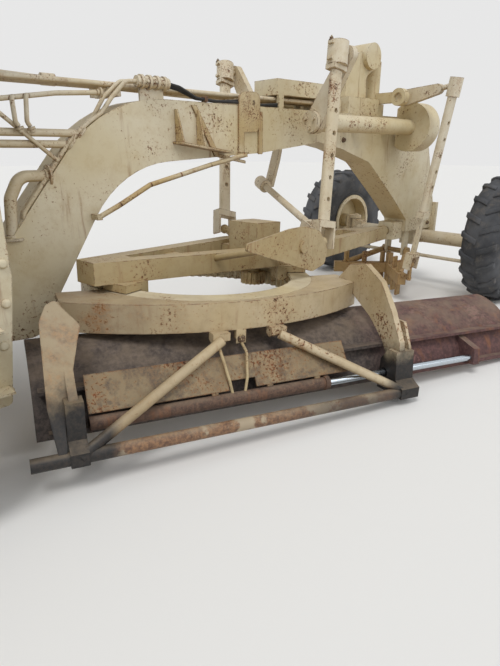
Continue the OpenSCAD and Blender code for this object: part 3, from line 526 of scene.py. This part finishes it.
def settle(shape):
    """Selects a shape alone, makes it active, and moves its placement into its mesh."""
    clear()
    shape.select_set(True)
    bpy.context.view_layer.objects.active = shape
    bpy.ops.object.transform_apply(location=True, rotation=True, scale=True)


def soften(shape, width):
    """Rounds the edges of the active shape."""
    bevel = shape.modifiers.new("soft edges", "BEVEL")
    bevel.width = width
    bevel.segments = 2
    bpy.ops.object.modifier_apply(modifier=bevel.name)


# %% Helpers that start, place, copy and finish a shape


def cylinder(sides, radius, depth, middle=(0, 0, 0), turn=(0, 0, 0)):
    clear()
    bpy.ops.mesh.primitive_cylinder_add(vertices=sides, radius=radius, depth=depth,
                                        location=middle, rotation=turn)
    return bpy.context.object


def block(low, high, soft):
    """A box between two corners with its edges rounded, ready for more work."""
    clear()
    middle = [(a + b) / 2 for a, b in zip(low, high)]
    bpy.ops.mesh.primitive_cube_add(size=1, location=middle)
    shape = bpy.context.object
    shape.scale = [b - a for a, b in zip(low, high)]
    settle(shape)
    if soft:
        soften(shape, soft)
    return shape


def upright_on(point, direction):
    """The placement that stands a shape made along z at a point, along a direction."""
    turn = Vector(direction).to_track_quat("Z", "Y").to_matrix().to_4x4()
    return Matrix.Translation(Vector(point)) @ turn


def joined(shapes):
    clear()
    for shape in shapes:
        shape.select_set(True)
    bpy.context.view_layer.objects.active = shapes[0]
    if len(shapes) > 1:
        bpy.ops.object.join()
    return bpy.context.view_layer.objects.active


def twin_of(shape, place):
    """A placed copy of a shape, with its own mesh."""
    twin = shape.copy()
    twin.data = shape.data.copy()
    twin.data.transform(place)
    if place.determinant() < 0:
        twin.data.flip_normals()
    show(twin)
    return twin


def copies(shape, places):
    """One shape made of placed copies of a finished one."""
    made = [twin_of(shape, place) for place in places]
    bpy.data.objects.remove(shape)
    return joined(made)


def piece(shapes, name, material, body, angle):
    """Joins, names, finishes and mounts shapes whose meshes are in place.

    angle is the sharpest turn between two faces, in degrees, that is still shaded smooth.
    """
    shape = joined(shapes)
    settle(shape)
    bpy.ops.object.shade_smooth_by_angle(angle=math.radians(angle))
    shape.name = name
    shape.data.name = name
    shape.data.materials.clear()
    shape.data.materials.append(material)
    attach(shape, body)
    print(name, len(shape.data.polygons), "faces on", body)
    return shape


# %% [markdown]
# ## Bolts and wheel nuts
#
# A hexagon bolt is a six-sided prism with its top edge chamfered, standing on a washer. The prism
# is a primitive cylinder with six sides; the chamfer is a bevel on its top face. A wheel nut is
# the same with the end of its stud pushed out of the top, by an inset and an extrusion.

# %% One bolt, one nut and one rivet


def hexagon(across, high, stud=0.0):
    """A bolt's head on its washer, or a nut with the end of its stud."""
    chamfer, rim = high * 0.2, across * 0.16
    head = cylinder(6, across / 2, high, (0, 0, high * 0.7))
    choose(head, on_top)
    bpy.ops.mesh.bevel(offset=chamfer, segments=1)
    if stud:
        choose(head, on_top)
        bpy.ops.mesh.inset(thickness=rim, depth=0)
        push_up(stud)
    washer = cylinder(12, across * 0.64, high * 0.24, (0, 0, high * 0.1))
    choose(washer, on_top)
    bpy.ops.mesh.bevel(offset=chamfer * 0.3, segments=1)
    shape = joined([head, washer])
    settle(shape)
    return shape


def domed(across, high):
    """A round head, like a rivet's."""
    head = cylinder(20, across / 2, high, (0, 0, high / 2))
    choose(head, on_top)
    bpy.ops.mesh.bevel(offset=high * 0.85, segments=4)
    settle(head)
    return head


def bolts(name, body, spots, head, material=bolt_steel):
    """Copies of a head at (point, direction) pairs of the frame, as one piece."""
    heads = copies(head, [upright_on(p, d) for p, d in spots])
    piece([heads], name, material, body, 28)


def ring_of(count, radius, centre, axis):
    """Points on a circle round an axis at a centre given in the frame."""
    place = upright_on(centre, axis)
    spots = []
    for i in range(count):
        a = 2 * math.pi * i / count
        spots.append((place @ Vector((radius * math.cos(a), radius * math.sin(a), 0)), axis))
    return spots


def side_spots(y, points):
    """Spots at both sides of the machine, facing outwards."""
    return [(at(x, side * y, z), (0, side, 0)) for side in (-1, 1) for x, z in points]


# %% Bolts of the frame, the platform and the lift gear
LIFT_Y, LIFT_Z, DRUM_FRONT, CRANK_FRONT = 350, 1830, 6200, 4570
STEP_PLATE = ((1708, 663), (1697, 411), (1560, 520), (1420, 640), (1300, 1000), (1300, 1250),
              (1500, 1250), (1700, 1250), (1765, 1080), (1752, 880))
NOSE = ((5190, 1880), (5190, 1790), (5190, 1700), (6620, 1650), (6960, 1060), (6960, 760))
bolts("step_plate_bolts", "chassis", side_spots(790, STEP_PLATE), domed(0.05, 0.018), cream)
drum_spots = []
for side in (-1, 1):
    drum_spots += ring_of(10, 0.205, at(DRUM_FRONT, side * LIFT_Y, LIFT_Z), AHEAD)
    drum_spots += ring_of(6, 0.068, at(DRUM_FRONT + 31, side * LIFT_Y, LIFT_Z), AHEAD)
bolts("worm_drum_bolts", "chassis", drum_spots, hexagon(0.03, 0.015), cream_links)
bolts("nose_bolts", "chassis", side_spots(150, NOSE), hexagon(0.04, 0.02))
for side, word in BOTH_SIDES:
    crank_spots = ring_of(8, 0.068, at(CRANK_FRONT, side * LIFT_Y, LIFT_Z), AHEAD)
    bolts("crank_hub_bolts_" + word, "crank_" + word, crank_spots, hexagon(0.026, 0.012))

# %% Wheel nuts
WHEEL_Y, WHEEL_Z = 1130, 680
AXLES = (("front", 6900), ("mid", 840), ("rear", -840))
wheels = [(end + "_" + word, x, side) for end, x in AXLES for side, word in BOTH_SIDES]
for wheel, x, side in wheels:
    nut_spots = ring_of(10, 0.165, at(x, side * WHEEL_Y, WHEEL_Z), (0, side, 0))
    bolts("wheel_nuts_" + wheel, "wheel_" + wheel, nut_spots, hexagon(0.036, 0.02, 0.014))

# %% [markdown]
# ## Tyres
#
# The CAD holds each tyre as a plain ring. A grader's tyre has a rounded shoulder, a bulging wall
# with a bead at the rim, and bars of rubber that run out from its middle at an angle, left and
# right in turn. The carcass starts as a short cylinder whose round ends are inset again and again,
# each time a little further out or in, which draws the wall; the last insets are removed and the
# two openings bridged. One bar is modelled, bent over the shoulder, and copied round.

# %% One carcass
TYRE_SIDES, TREAD_RADIUS, TREAD_WIDTH, OPENING = 72, 0.659, 0.25, 0.334
# The wall from the tread to the rim: how far each ring lies further in, and further out.
WALL = ((0.020, 0.025), (0.022, 0.030), (0.05, 0.014), (0.06, 0.006), (0.05, 0.0),
        (0.05, -0.008), (0.022, -0.018), (0.012, 0.006), (0.0345, -0.024))


def carcass():
    """A tyre without its bars, round the origin."""
    shape = cylinder(TYRE_SIDES, TREAD_RADIUS, TREAD_WIDTH, turn=(math.pi / 2, 0, 0))
    settle(shape)
    choose(shape, lambda c, n: abs(n.y) > ALONG)
    for inward, outward in WALL:
        bpy.ops.mesh.inset(thickness=inward, depth=outward)
    bpy.ops.mesh.delete(type="ONLY_FACE")
    bpy.ops.mesh.select_mode(type="EDGE")
    mode("OBJECT")
    for edge in shape.data.edges:
        ends = [shape.data.vertices[i].co for i in edge.vertices]
        edge.select = all(math.hypot(end.x, end.z) < OPENING for end in ends)
    mode("EDIT")
    bpy.ops.mesh.bridge_edge_loops()
    bpy.ops.mesh.select_all(action="SELECT")
    bpy.ops.mesh.normals_make_consistent(inside=False)
    mode("OBJECT")
    return shape


tyre_body = carcass()
reach = [round(max(abs(v.co[k]) for v in tyre_body.data.vertices), 3) for k in range(3)]
print("carcass reaches", reach)

# %% One bar of the tread and its copies
BARS = 20
BAR_START, SHOULDER, DROP, SLANT = 0.01, 0.08, 2.6, 0.42


def tread_bar():
    """A bar from the middle of the tread over its shoulder, on top of the wheel."""
    bar = block((-0.036, BAR_START, 0.634), (0.036, 0.188, 0.678), 0)
    mode("EDIT")
    for cut in (0.09, 0.14):
        bpy.ops.mesh.select_all(action="SELECT")
        bpy.ops.mesh.bisect(plane_co=(0, cut, 0), plane_no=(0, 1, 0))
    choose(bar, on_top)
    bpy.ops.transform.resize(value=(0.72, 1, 1))
    mode("OBJECT")
    for v in bar.data.vertices:
        past = max(0.0, v.co.y - SHOULDER)
        v.co.z -= DROP * past * past
        v.co.x += SLANT * (v.co.y - BAR_START)
    soften(bar, 0.005)
    return bar


half_step = math.pi / BARS
turns = [Matrix.Rotation(2 * half_step * i, 4, "Y") for i in range(BARS)]
across = Matrix.Scale(-1, 4, (0, 1, 0))
turns += [Matrix.Rotation(2 * half_step * i + half_step, 4, "Y") @ across for i in range(BARS)]
treaded = joined([tyre_body, copies(tread_bar(), turns)])
high = max(math.hypot(v.co.x, v.co.z) for v in treaded.data.vertices)
wide = max(abs(v.co.y) for v in treaded.data.vertices)
print("tyre radius", round(high, 4), "half width", round(wide, 4))

# %% Six tyres, each turned a little
for wheel, x, side in wheels:
    spin = Matrix.Rotation(0.37 * side + x / 3000, 4, "Y")
    twin = twin_of(treaded, Matrix.Translation(at(x, side * WHEEL_Y, WHEEL_Z)) @ spin)
    piece([twin], "tread_tyre_" + wheel, rubber, "wheel_" + wheel, 40)
    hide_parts("tyre_" + wheel)
bpy.data.objects.remove(treaded)

# %% [markdown]
# ## Steel pipes, the valve and its hoses
#
# Steel pipes run from the front of the cab to the gooseneck, and two bright ones climb along its
# back to a valve on the beam. A pipe is a line of points with rounded corners. It's drawn as a
# curve with a round section, which keeps its thickness in every bend, and is then made a mesh.
# Flanges close most ends of the pipes in front of the cab.

# %% Points of a bent pipe, and the pipe itself
NEARLY_STRAIGHT, ARC_STEPS, MOST_OF_LEG = 1.55, 7, 0.48


def bent(points, radius):
    """The points with an arc of the radius at each inner corner."""
    points = [Vector(p) for p in points]
    line = [points[0]]
    for before, corner, after in zip(points, points[1:], points[2:]):
        a, b = (before - corner).normalized(), (after - corner).normalized()
        half = a.angle(b) / 2
        if half > NEARLY_STRAIGHT:
            line.append(corner)
            continue
        shorter = min((before - corner).length, (after - corner).length)
        reach = min(radius / math.tan(half), shorter * MOST_OF_LEG)
        centre = corner + (a + b).normalized() * reach / math.cos(half)
        start, end = corner + a * reach - centre, corner + b * reach - centre
        sweep = math.pi - 2 * half
        for i in range(ARC_STEPS + 1):
            part = sweep * i / ARC_STEPS
            swung = start * math.sin(sweep - part) + end * math.sin(part)
            line.append(centre + swung / math.sin(sweep))
    line.append(points[-1])
    return line


def tube(points, radius, bend=0.08):
    """A round pipe along bent points, as a mesh in the frame."""
    clear()
    data = bpy.data.curves.new("pipe", "CURVE")
    data.dimensions = "3D"
    data.bevel_depth = radius
    data.bevel_resolution = 3
    data.use_fill_caps = True
    line = bent(points, bend)
    spline = data.splines.new("POLY")
    spline.points.add(len(line) - 1)
    for point, place in zip(spline.points, line):
        point.co = (*place, 1)
    pipe = bpy.data.objects.new("pipe", data)
    show(pipe)
    pipe.select_set(True)
    bpy.context.view_layer.objects.active = pipe
    bpy.ops.object.convert(target="MESH")
    return bpy.context.object


def flange(centre, direction, radius, thick=0.014, hub=0.6):
    """A round flange with a raised hub, standing on a surface."""
    disc = cylinder(28, radius, thick, (0, 0, thick / 2))
    choose(disc, on_top)
    bpy.ops.mesh.inset(thickness=radius * (1 - hub), depth=0)
    push_up(thick * 1.3)
    bpy.ops.mesh.bevel(offset=0.003, segments=2)
    settle(disc)
    disc.data.transform(upright_on(centre, direction))
    return disc


# %% Pipes along the gooseneck
BEND_X, BEND_Z, BEND_R = 3171, 975, 965
VALVE_X, VALVE_Z = 3075, 2035


def on_back(angle, y, off):
    """A point on the gooseneck's rounded back, at an angle of its bend in degrees."""
    a = math.radians(angle)
    return at(BEND_X + (BEND_R + off) * math.cos(a), y, BEND_Z + (BEND_R + off) * math.sin(a))


climbing = []
for y, y_top, shift in ((-132, -160, 0), (-98, -125, 60)):
    path = [at(VALVE_X - 125, y_top, VALVE_Z), at(2875 - shift * 0.4, y_top, 2030),
            at(2780 - shift * 0.7, y, 1930)]
    path += [on_back(a, y, 15) for a in (119 + shift / 20, 125, 131, 137, 140.4)]
    path += [at(2210, y, 1349), at(2120, y, 1240), at(2118, y, 1200)]
    climbing.append(tube(path, 0.0135, 0.06))
piece(climbing, "climbing_pipes", cream_links, "chassis", 60)

# %% Pipes in front of the cab
front_pipes = [
    tube([at(1753, -150, 1880), at(2080, -150, 1880), at(2400, -150, 1928),
          at(2700, -150, 1950)], 0.015, 0.12),
    tube([at(2150, -152, 1893), at(2135, -170, 1885), at(2135, -176, 1760),
          at(2150, -176, 1735)], 0.014, 0.035),
    tube([at(2230, -152, 1905), at(2215, -174, 1900), at(2200, -178, 1760),
          at(2215, -178, 1735)], 0.014, 0.035),
    *[tube([at(1753, -118, z), at(x, -118, z)], 0.024) for x, z in ((2550, 1705), (2478, 1640))],
    tube([at(1753, -175, 2062), at(2372, -139, 1540)], 0.013),
    tube([at(2035, -110, 1078), at(2060, -110, 1330), at(2130, -110, 1455),
          at(2316, -110, 1455)], 0.036, 0.09)]
pipe_ends = [
    ((2548, -118, 1705), (-0.75, 0, 0.66), 0.05), ((2474, -118, 1640), (-0.8, 0, 0.6), 0.05),
    ((2314, -110, 1455), BACK, 0.066), ((2036, -110, 1081), UP, 0.07),
    ((1752, -150, 1880), AHEAD, 0.036), ((1752, -118, 1705), AHEAD, 0.05),
    ((1752, -118, 1640), AHEAD, 0.05), ((1752, -175, 2062), AHEAD, 0.034),
    ((2700, -150, 1950), BACK, 0.03), ((2152, -176, 1732), (0.3, 0, -1), 0.024),
    ((2217, -178, 1732), (0.3, 0, -1), 0.024)]
front_pipes += [flange(at(*spot), way, radius) for spot, way, radius in pipe_ends]
piece(front_pipes, "front_pipes", cream_links, "chassis", 60)

# %% [markdown]
# The valve is a turned body with collars: a cylinder is cut across with bisect, and every second
# ring of its faces is pushed out along their normals. It stands on a saddle.

# %% Valve on the beam
COLLAR = 23
valve = cylinder(32, 0.036, 0.25, at(VALVE_X, -162, VALVE_Z), (0, math.pi / 2, 0))
settle(valve)
mode("EDIT")
collars = [(at(x, 0, 0), at(x + COLLAR, 0, 0)) for x in
           (VALVE_X - 100, VALVE_X - 40, VALVE_X + 20, VALVE_X + 77)]
for cut in sum(collars, ()):
    bpy.ops.mesh.select_all(action="SELECT")
    bpy.ops.mesh.bisect(plane_co=cut, plane_no=AHEAD)
for low, high in collars:
    choose(valve, lambda c, n: low.x < c.x < high.x and abs(n.x) < 0.5)
    bpy.ops.mesh.extrude_region_shrink_fatten(TRANSFORM_OT_shrink_fatten={"value": 0.009})
saddle = block(at(VALVE_X - 95, -148, 1910), at(VALVE_X + 95, -126, 2006), 0.006)
ports = [flange(at(VALVE_X + x, -196, VALVE_Z), RIGHT, 0.017, 0.01) for x in (-60, 0, 60)]
piece([valve, saddle] + ports, "beam_valve", cream_links, "chassis", 40)

# %% Hoses and their clips
hoses = []
for y_end, y_side, drop in ((-128, -172, 0), (-132, -148, 14)):
    hoses.append(tube([at(VALVE_X + 123, y_side, 2036 - drop), at(3290, y_side, 2022 - drop),
                       at(3450, y_side + 20, 1962), at(3640, y_side + 26, 1953),
                       at(3880, y_side + 22, 1957 + drop), at(4120, y_end, 1953),
                       at(4300, y_end, 1955 + drop)], 0.0105, 0.16))
piece(hoses, "clipped_hoses", hose_black, "chassis", 60)
clips = [block(at(x, -166, 1941), at(x + 26, -112, 1980), 0.004) for x in (3520, 3990)]
piece(clips, "hose_clips", bolt_steel, "chassis", 30)

# %% [markdown]
# ## Glass in the cab
#
# Each window is a pane in a rubber seal. The seal is a box of the opening's size whose two large
# faces are inset, emptied and bridged, which leaves a frame; the pane is a thin plate inside it.
# Seal and pane ride on the door where they belong to one.

# %% A seal and a pane for an opening
SEAL, PANE_INSET, HALF_PANE = 0.016, 0.013, 0.0025


def glazing(low, high, flat):
    """A seal and a pane between two corners; flat is the axis that the pane lies across."""
    seal = block(low, high, 0)
    choose(seal, lambda c, n: abs(n[flat]) > ALONG)
    bpy.ops.mesh.inset(thickness=SEAL, depth=0)
    bpy.ops.mesh.bridge_edge_loops()
    mode("OBJECT")
    soften(seal, 0.003)
    a, b = list(low), list(high)
    for axis in range(3):
        if axis == flat:
            middle = (a[axis] + b[axis]) / 2
            a[axis], b[axis] = middle - HALF_PANE, middle + HALF_PANE
        else:
            a[axis] += PANE_INSET
            b[axis] -= PANE_INSET
    return seal, block(a, b, 0.0008)


def window(name, body, openings):
    """All windows of one body: one piece of seals and one of panes."""
    seals, panes = zip(*[glazing(*opening) for opening in openings])
    piece(seals, name + "_seals", hose_black, body, 35)
    piece(panes, name + "_panes", glass, body, 10)


# %% Windows of the cab and its doors
CAB_SIDE, SILL = 725, 2061


def side_corners(side, depth, x, z):
    """Two corners of a box at a side of the machine, from its three (low, high) pairs."""
    y0, y1 = sorted(side * y for y in depth)
    return at(x[0], y0, z[0]), at(x[1], y1, z[1])


def side_window(side, x, z):
    """An opening in a side of the cab, as deep as its seal."""
    return (*side_corners(side, (CAB_SIDE - 34, CAB_SIDE - 6), x, z), 1)


cab_openings = [side_window(side, (611, 689), (SILL, 3009)) for side in (-1, 1)]
for x in (556, 1716):
    cab_openings.append((at(x, -614, SILL), at(x + 28, 614, 3009), 0))
for y0, y1 in ((-614, -181), (181, 614)):
    cab_openings.append((at(1716, y0, 1481), at(1744, y1, 1969), 0))
window("cab", "chassis", cab_openings)
for side, word in BOTH_SIDES:
    window("door_" + word, "door_" + word,
           [side_window(side, (831, 1539), z) for z in ((SILL, 2929), (1496, 1969))])

# %% [markdown]
# ## Driver's seat
#
# The seat has a pressed steel pan on a pedestal and two cushions in worn leather-cloth. A cushion
# isn't a block: it's crowned, its sides pull in between the corners, and its seam runs round the
# middle. It starts as a box, is remeshed finely and blown up with cloth pressure for twenty
# frames, and no point may move further than a cap.

# %% A soft cushion
VOXEL, PRESSURE, SWELL_FRAMES, MOST_SWELL = 0.0055, 4, 20, 0.014
SEAM_WIDTH, SEAM_DEPTH, CHANNEL_WIDTH, CHANNEL_DEPTH = 0.006, 0.008, 0.009, 0.006


def swell(pad):
    """Blows the pad up with cloth pressure."""
    frame_before = scene.frame_current
    remesh = pad.modifiers.new("fine", "REMESH")
    remesh.mode = "VOXEL"
    remesh.voxel_size = VOXEL
    bpy.ops.object.modifier_apply(modifier=remesh.name)
    start = [v.co.copy() for v in pad.data.vertices]
    cloth = pad.modifiers.new("swell", "CLOTH")
    cloth.settings.use_pressure = True
    cloth.settings.uniform_pressure_force = PRESSURE
    cloth.settings.effector_weights.gravity = 0
    cloth.collision_settings.use_collision = False
    for step in range(1, SWELL_FRAMES + 1):
        scene.frame_set(step)
    bpy.ops.object.modifier_apply(modifier=cloth.name)
    for v, old in zip(pad.data.vertices, start):
        move = v.co - old
        if move.length > MOST_SWELL:
            v.co = old + move.normalized() * MOST_SWELL
    scene.frame_set(frame_before)


def cushion(name, low, high):
    """A soft cushion between two corners, with a seam round it and three sewn channels."""
    pad = block(low, high, 0.02)
    swell(pad)
    middle = (Vector(low) + Vector(high)) / 2
    size = Vector(high) - Vector(low)
    flat = min(range(3), key=lambda k: size[k])
    others = [k for k in range(3) if k != flat]
    for v in pad.data.vertices:
        rel = v.co - middle
        level = abs(rel[flat]) / (size[flat] / 2)
        seam = max(0.0, 1 - abs(rel[flat]) / SEAM_WIDTH)
        edge = max(abs(rel[k]) / (size[k] / 2) for k in others)
        v.co -= Vector([rel[k] * SEAM_DEPTH * seam if k != flat else 0 for k in range(3)])
        channel = min(abs(rel[others[0]] - s * size[others[0]] / 4) for s in (-1, 0, 1))
        if level > 0.6 and edge < 0.93:
            sewn = CHANNEL_DEPTH * max(0.0, 1 - channel / CHANNEL_WIDTH)
            v.co[flat] -= math.copysign(sewn, rel[flat])
    smooth = pad.modifiers.new("smooth", "SUBSURF")
    smooth.levels = smooth.render_levels = 1
    bpy.ops.object.modifier_apply(modifier=smooth.name)
    piece([pad], name, seat_cover, "chassis", 60)
    return pad


seat_pad = cushion("seat_cushion", at(740, -226, 1722), at(1156, 226, 1796))
back_pad = cushion("seat_back", at(676, -226, 1836), at(742, 226, 2292))

# %% Pan, pedestal and back plate
pan = block(at(724, -236, 1692), at(1166, 236, 1710), 0.006)
choose(pan, on_top)
bpy.ops.mesh.inset(thickness=0.012, depth=0)
push_up(-0.006)
back_plate = block(at(662, -232, 1700), at(672, 232, 2296), 0.004)
post = cylinder(32, 0.088, 0.33, at(950, 0, 1526))
choose(post, on_top)
bpy.ops.mesh.inset(thickness=0.03, depth=0)
settle(post)
soften(post, 0.005)
foot_plate = flange(at(950, 0, 1361), UP, 0.14, 0.012, 0.7)
seat_steel = piece([pan, back_plate, post, foot_plate], "seat_steel", dark_steel, "chassis",
                   35)
for part in (seat_pad, back_pad, seat_steel):
    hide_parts("seat")

# %% [markdown]
# ## Small pieces on the blade gear
#
# Under the yoke's bow hangs a lug with a bolt, and two rods run down in front of the guard to
# the barrel. The guard itself is one panel with a notch at its foot, so a plate closes the upper
# part of the gap that the CAD leaves. These pieces are drawn in the blade gear's own directions
# and then placed with it.

# %% Lug, rods and the middle of the guard


def ring_way(u, v, z):
    """A direction of the blade gear as a direction of the frame."""
    return ring_place.to_3x3() @ Vector((u, -v, z))


def gear_block(low, high):
    """A box between two corners given as for on_ring."""
    shape = block(Vector((low[0], -high[1], low[2])) / 1000,
                  Vector((high[0], -low[1], high[2])) / 1000, 0.002)
    shape.data.transform(ring_place)
    return shape


lug = [gear_block((-85, 883, -408), (-18, 890, -318)),
       gear_block((-85, 850, -380), (-78, 885, -318))]
piece(lug, "bow_lug", shaded_yoke_paint, "circle", 30)
bolts("bow_lug_bolt", "circle", [(on_ring(-51, 890, -378), ring_way(0, 1, 0))],
      hexagon(0.042, 0.018))
rods = [tube([on_ring(-228, 925, -366), on_ring(-222, 990, -434), on_ring(-205, 1068, -560),
              on_ring(-187, 1083, -650)], 0.0095, 0.05),
        tube([on_ring(-51, 886, -396), on_ring(-58, 986, -434), on_ring(-88, 1067, -560),
              on_ring(-108, 1084, -650)], 0.009, 0.05)]
piece(rods, "bow_rods", shaded_bar_paint, "circle", 60)

# The guard's own axes: x to the left along the blade, y down its slope, z square to it.
GUARD_TOP = Matrix.Translation((0, -0.963, -0.4505))
GUARD_SLOPE = Matrix(((-1, 0, 0, 0), (0, -0.563, -0.826, 0), (0, -0.826, 0.563, 0), (0, 0, 0, 1)))
middle_plate = block((0.02, 0.0, -0.0069), (0.22, 0.152, 0.0069), 0.0005)
middle_plate.data.transform(ring_place @ GUARD_TOP @ GUARD_SLOPE)
piece([middle_plate], "guard_middle", stained, "circle", 10)

# %% [markdown]
# ## Rain cap, grab rails and lamp rims
#
# A band is a short cylinder whose two ends are inset, emptied and bridged. It makes the collar of
# the exhaust's rain cap and the rims of the lamps. The grab rails are bent pipes on round feet.

# %% Bands and grips


def band(centre, direction, outer, inner, deep):
    """A flat ring round a direction."""
    ring = cylinder(36, outer, deep)
    choose(ring, lambda c, n: abs(n.z) > ALONG)
    bpy.ops.mesh.inset(thickness=outer - inner, depth=0)
    bpy.ops.mesh.bridge_edge_loops()
    bpy.ops.mesh.select_all(action="SELECT")
    bpy.ops.mesh.normals_make_consistent(inside=False)
    mode("OBJECT")
    soften(ring, (outer - inner) * 0.3)
    ring.data.transform(upright_on(centre, direction))
    return ring


def grip(side, x, heights, reach, pipe, foot):
    """A bent pipe that stands out from the cab's side between two heights, on two feet.

    reach is where it starts and how far it stands out; pipe is its radius and bend; foot is
    where its feet stand, and their radius and thickness.
    """
    (low, high), (near, far), (start, *size) = heights, reach, foot
    corners = ((near, low), (far, low), (far, high), (near, high))
    rail = tube([at(x, side * y, z) for y, z in corners], *pipe)
    return [rail] + [flange(at(x, side * start, z), (0, side, 0), *size) for z in heights]


# %% The rain cap, the rails and the rims
cap = flange(at(-297, -200, 2886), (-0.34, 0, 1), 0.046, 0.005, 0.3)
hinge = block(at(-350, -212, 2852), at(-336, -188, 2888), 0.003)
weight = block(at(-372, -208, 2876), at(-346, -192, 2896), 0.004)
collar = band(at(-300, -200, 2862), UP, 0.043, 0.0385, 0.026)
piece([cap, hinge, weight, collar], "rain_cap", dark_steel, "chassis", 35)

rails = []
for side in (-1, 1):
    for x in (1690, 648):
        rails += grip(side, x, (1500, 2160), (CAB_SIDE + 1, 778), (0.0135, 0.045),
                      (CAB_SIDE, 0.03, 0.006))
piece(rails, "grab_rails", cream, "chassis", 60)

rims = [band(at(1914, side * 520, 3105), AHEAD, 0.081, 0.069, 0.03) for side in (-1, 1)]
piece(rims, "lamp_rims", dark_steel, "chassis", 40)

# %% [markdown]
# ## Fittings of the lift links, the hood and the cab
#
# Each lift link hangs from its crank by a cap over a ball. The two halves of the cap are drawn
# together by a bolt through an ear at either side. The hood has rivets along its foot and its
# top edge, two latches at each side and a filler cap on top. The cab gets its door handles, a
# wiper and a drip rail.

# %% Ears and bolts of the caps
EAR_IN, EAR_OUT, EAR_TOP = 0.07, 0.097, 0.062
for side, word in BOTH_SIDES:
    ball, foot = at(4400, side * 670, 2300), on_bar(-2268, side * 538, 90)
    place = Matrix.Translation(ball) @ (ball - foot).to_track_quat("Z", "X").to_matrix().to_4x4()
    ahead = (place.to_3x3().inverted() @ Vector(AHEAD)).normalized()
    level = Vector((ahead.x, ahead.y, 0))
    swing = place @ level.to_track_quat("X", "Z").to_matrix().to_4x4()
    ears = []
    for end in (-1, 1):
        x0, x1 = sorted((end * EAR_IN, end * EAR_OUT))
        ears.append(block((x0, -0.024, 0.036), (x1, 0.024, EAR_TOP), 0.004))
        ears.append(block((x0, -0.024, -0.075), (x1, 0.024, -0.049), 0.004))
    ears = joined(ears)
    ears.data.transform(swing)
    piece([ears], "cap_ears_" + word, cream_links, "link_" + word, 30)
    along_link = swing.to_3x3() @ Vector(UP)
    heads = [(swing @ Vector((end * 0.085, 0, EAR_TOP)), along_link) for end in (-1, 1)]
    bolts("cap_bolts_" + word, "link_" + word, heads, hexagon(0.03, 0.018, 0.01))

# %% Rivets, latches and the filler cap of the hood
rivets = [(-1380 + 150 * i, z) for z in (1130, 1990) for i in range(13)]
bolts("hood_rivets", "chassis", side_spots(470, rivets), domed(0.022, 0.006), cream)
latches = []
for side in (-1, 1):
    for x in (-1050, 150):
        plate = side_corners(side, (469, 482), (x - 26, x + 26), (1212, 1290))
        lever = side_corners(side, (480, 496), (x - 9, x + 9), (1222, 1268))
        latches += [block(*plate, 0.003), block(*lever, 0.004)]
piece(latches, "hood_latches", dark_steel, "chassis", 30)
filler = [flange(at(-900, 160, 2060), UP, 0.062, 0.02, 0.82),
          flange(at(-900, 160, 2104), UP, 0.03, 0.008, 0.5)]
piece(filler, "filler_cap", dark_steel, "chassis", 35)

# %% Door handles, wiper and drip rail
for side, word in BOTH_SIDES:
    handle = grip(side, 1577, (1985, 2105), (CAB_SIDE - 1, 758), (0.008, 0.02),
                  (CAB_SIDE - 0.5, 0.016, 0.004))
    piece(handle, "door_handle_" + word, dark_steel, "door_" + word, 60)
arm = tube([at(1750, 40, 3035), at(1776, 40, 3035), at(1766, -170, 2560)], 0.006, 0.02)
blade = block(at(1752, -176, 2330), at(1764, -164, 2800), 0.003)
motor = flange(at(1749, 40, 3035), AHEAD, 0.03, 0.012)
piece([arm, blade, motor], "wiper", dark_steel, "chassis", 60)
edge = [tube([at(560, side * 762, 3086), at(1850, side * 762, 3086)], 0.009) for side in (-1, 1)]
piece(edge, "drip_rail", cream, "chassis", 60)

# %% [markdown]
# The floor is a wide pale sheet that catches the machine's shadow. It isn't part of the machine.

# %% Floor
bpy.ops.object.select_all(action="DESELECT")
bpy.ops.mesh.primitive_plane_add(size=120, location=(4, 0, GROUND - 0.001))
floor = bpy.context.object
floor.name = "floor"
f = Finish("floor_pale")
floor.data.materials.append(f.done("#e9e7e3", 0.9))
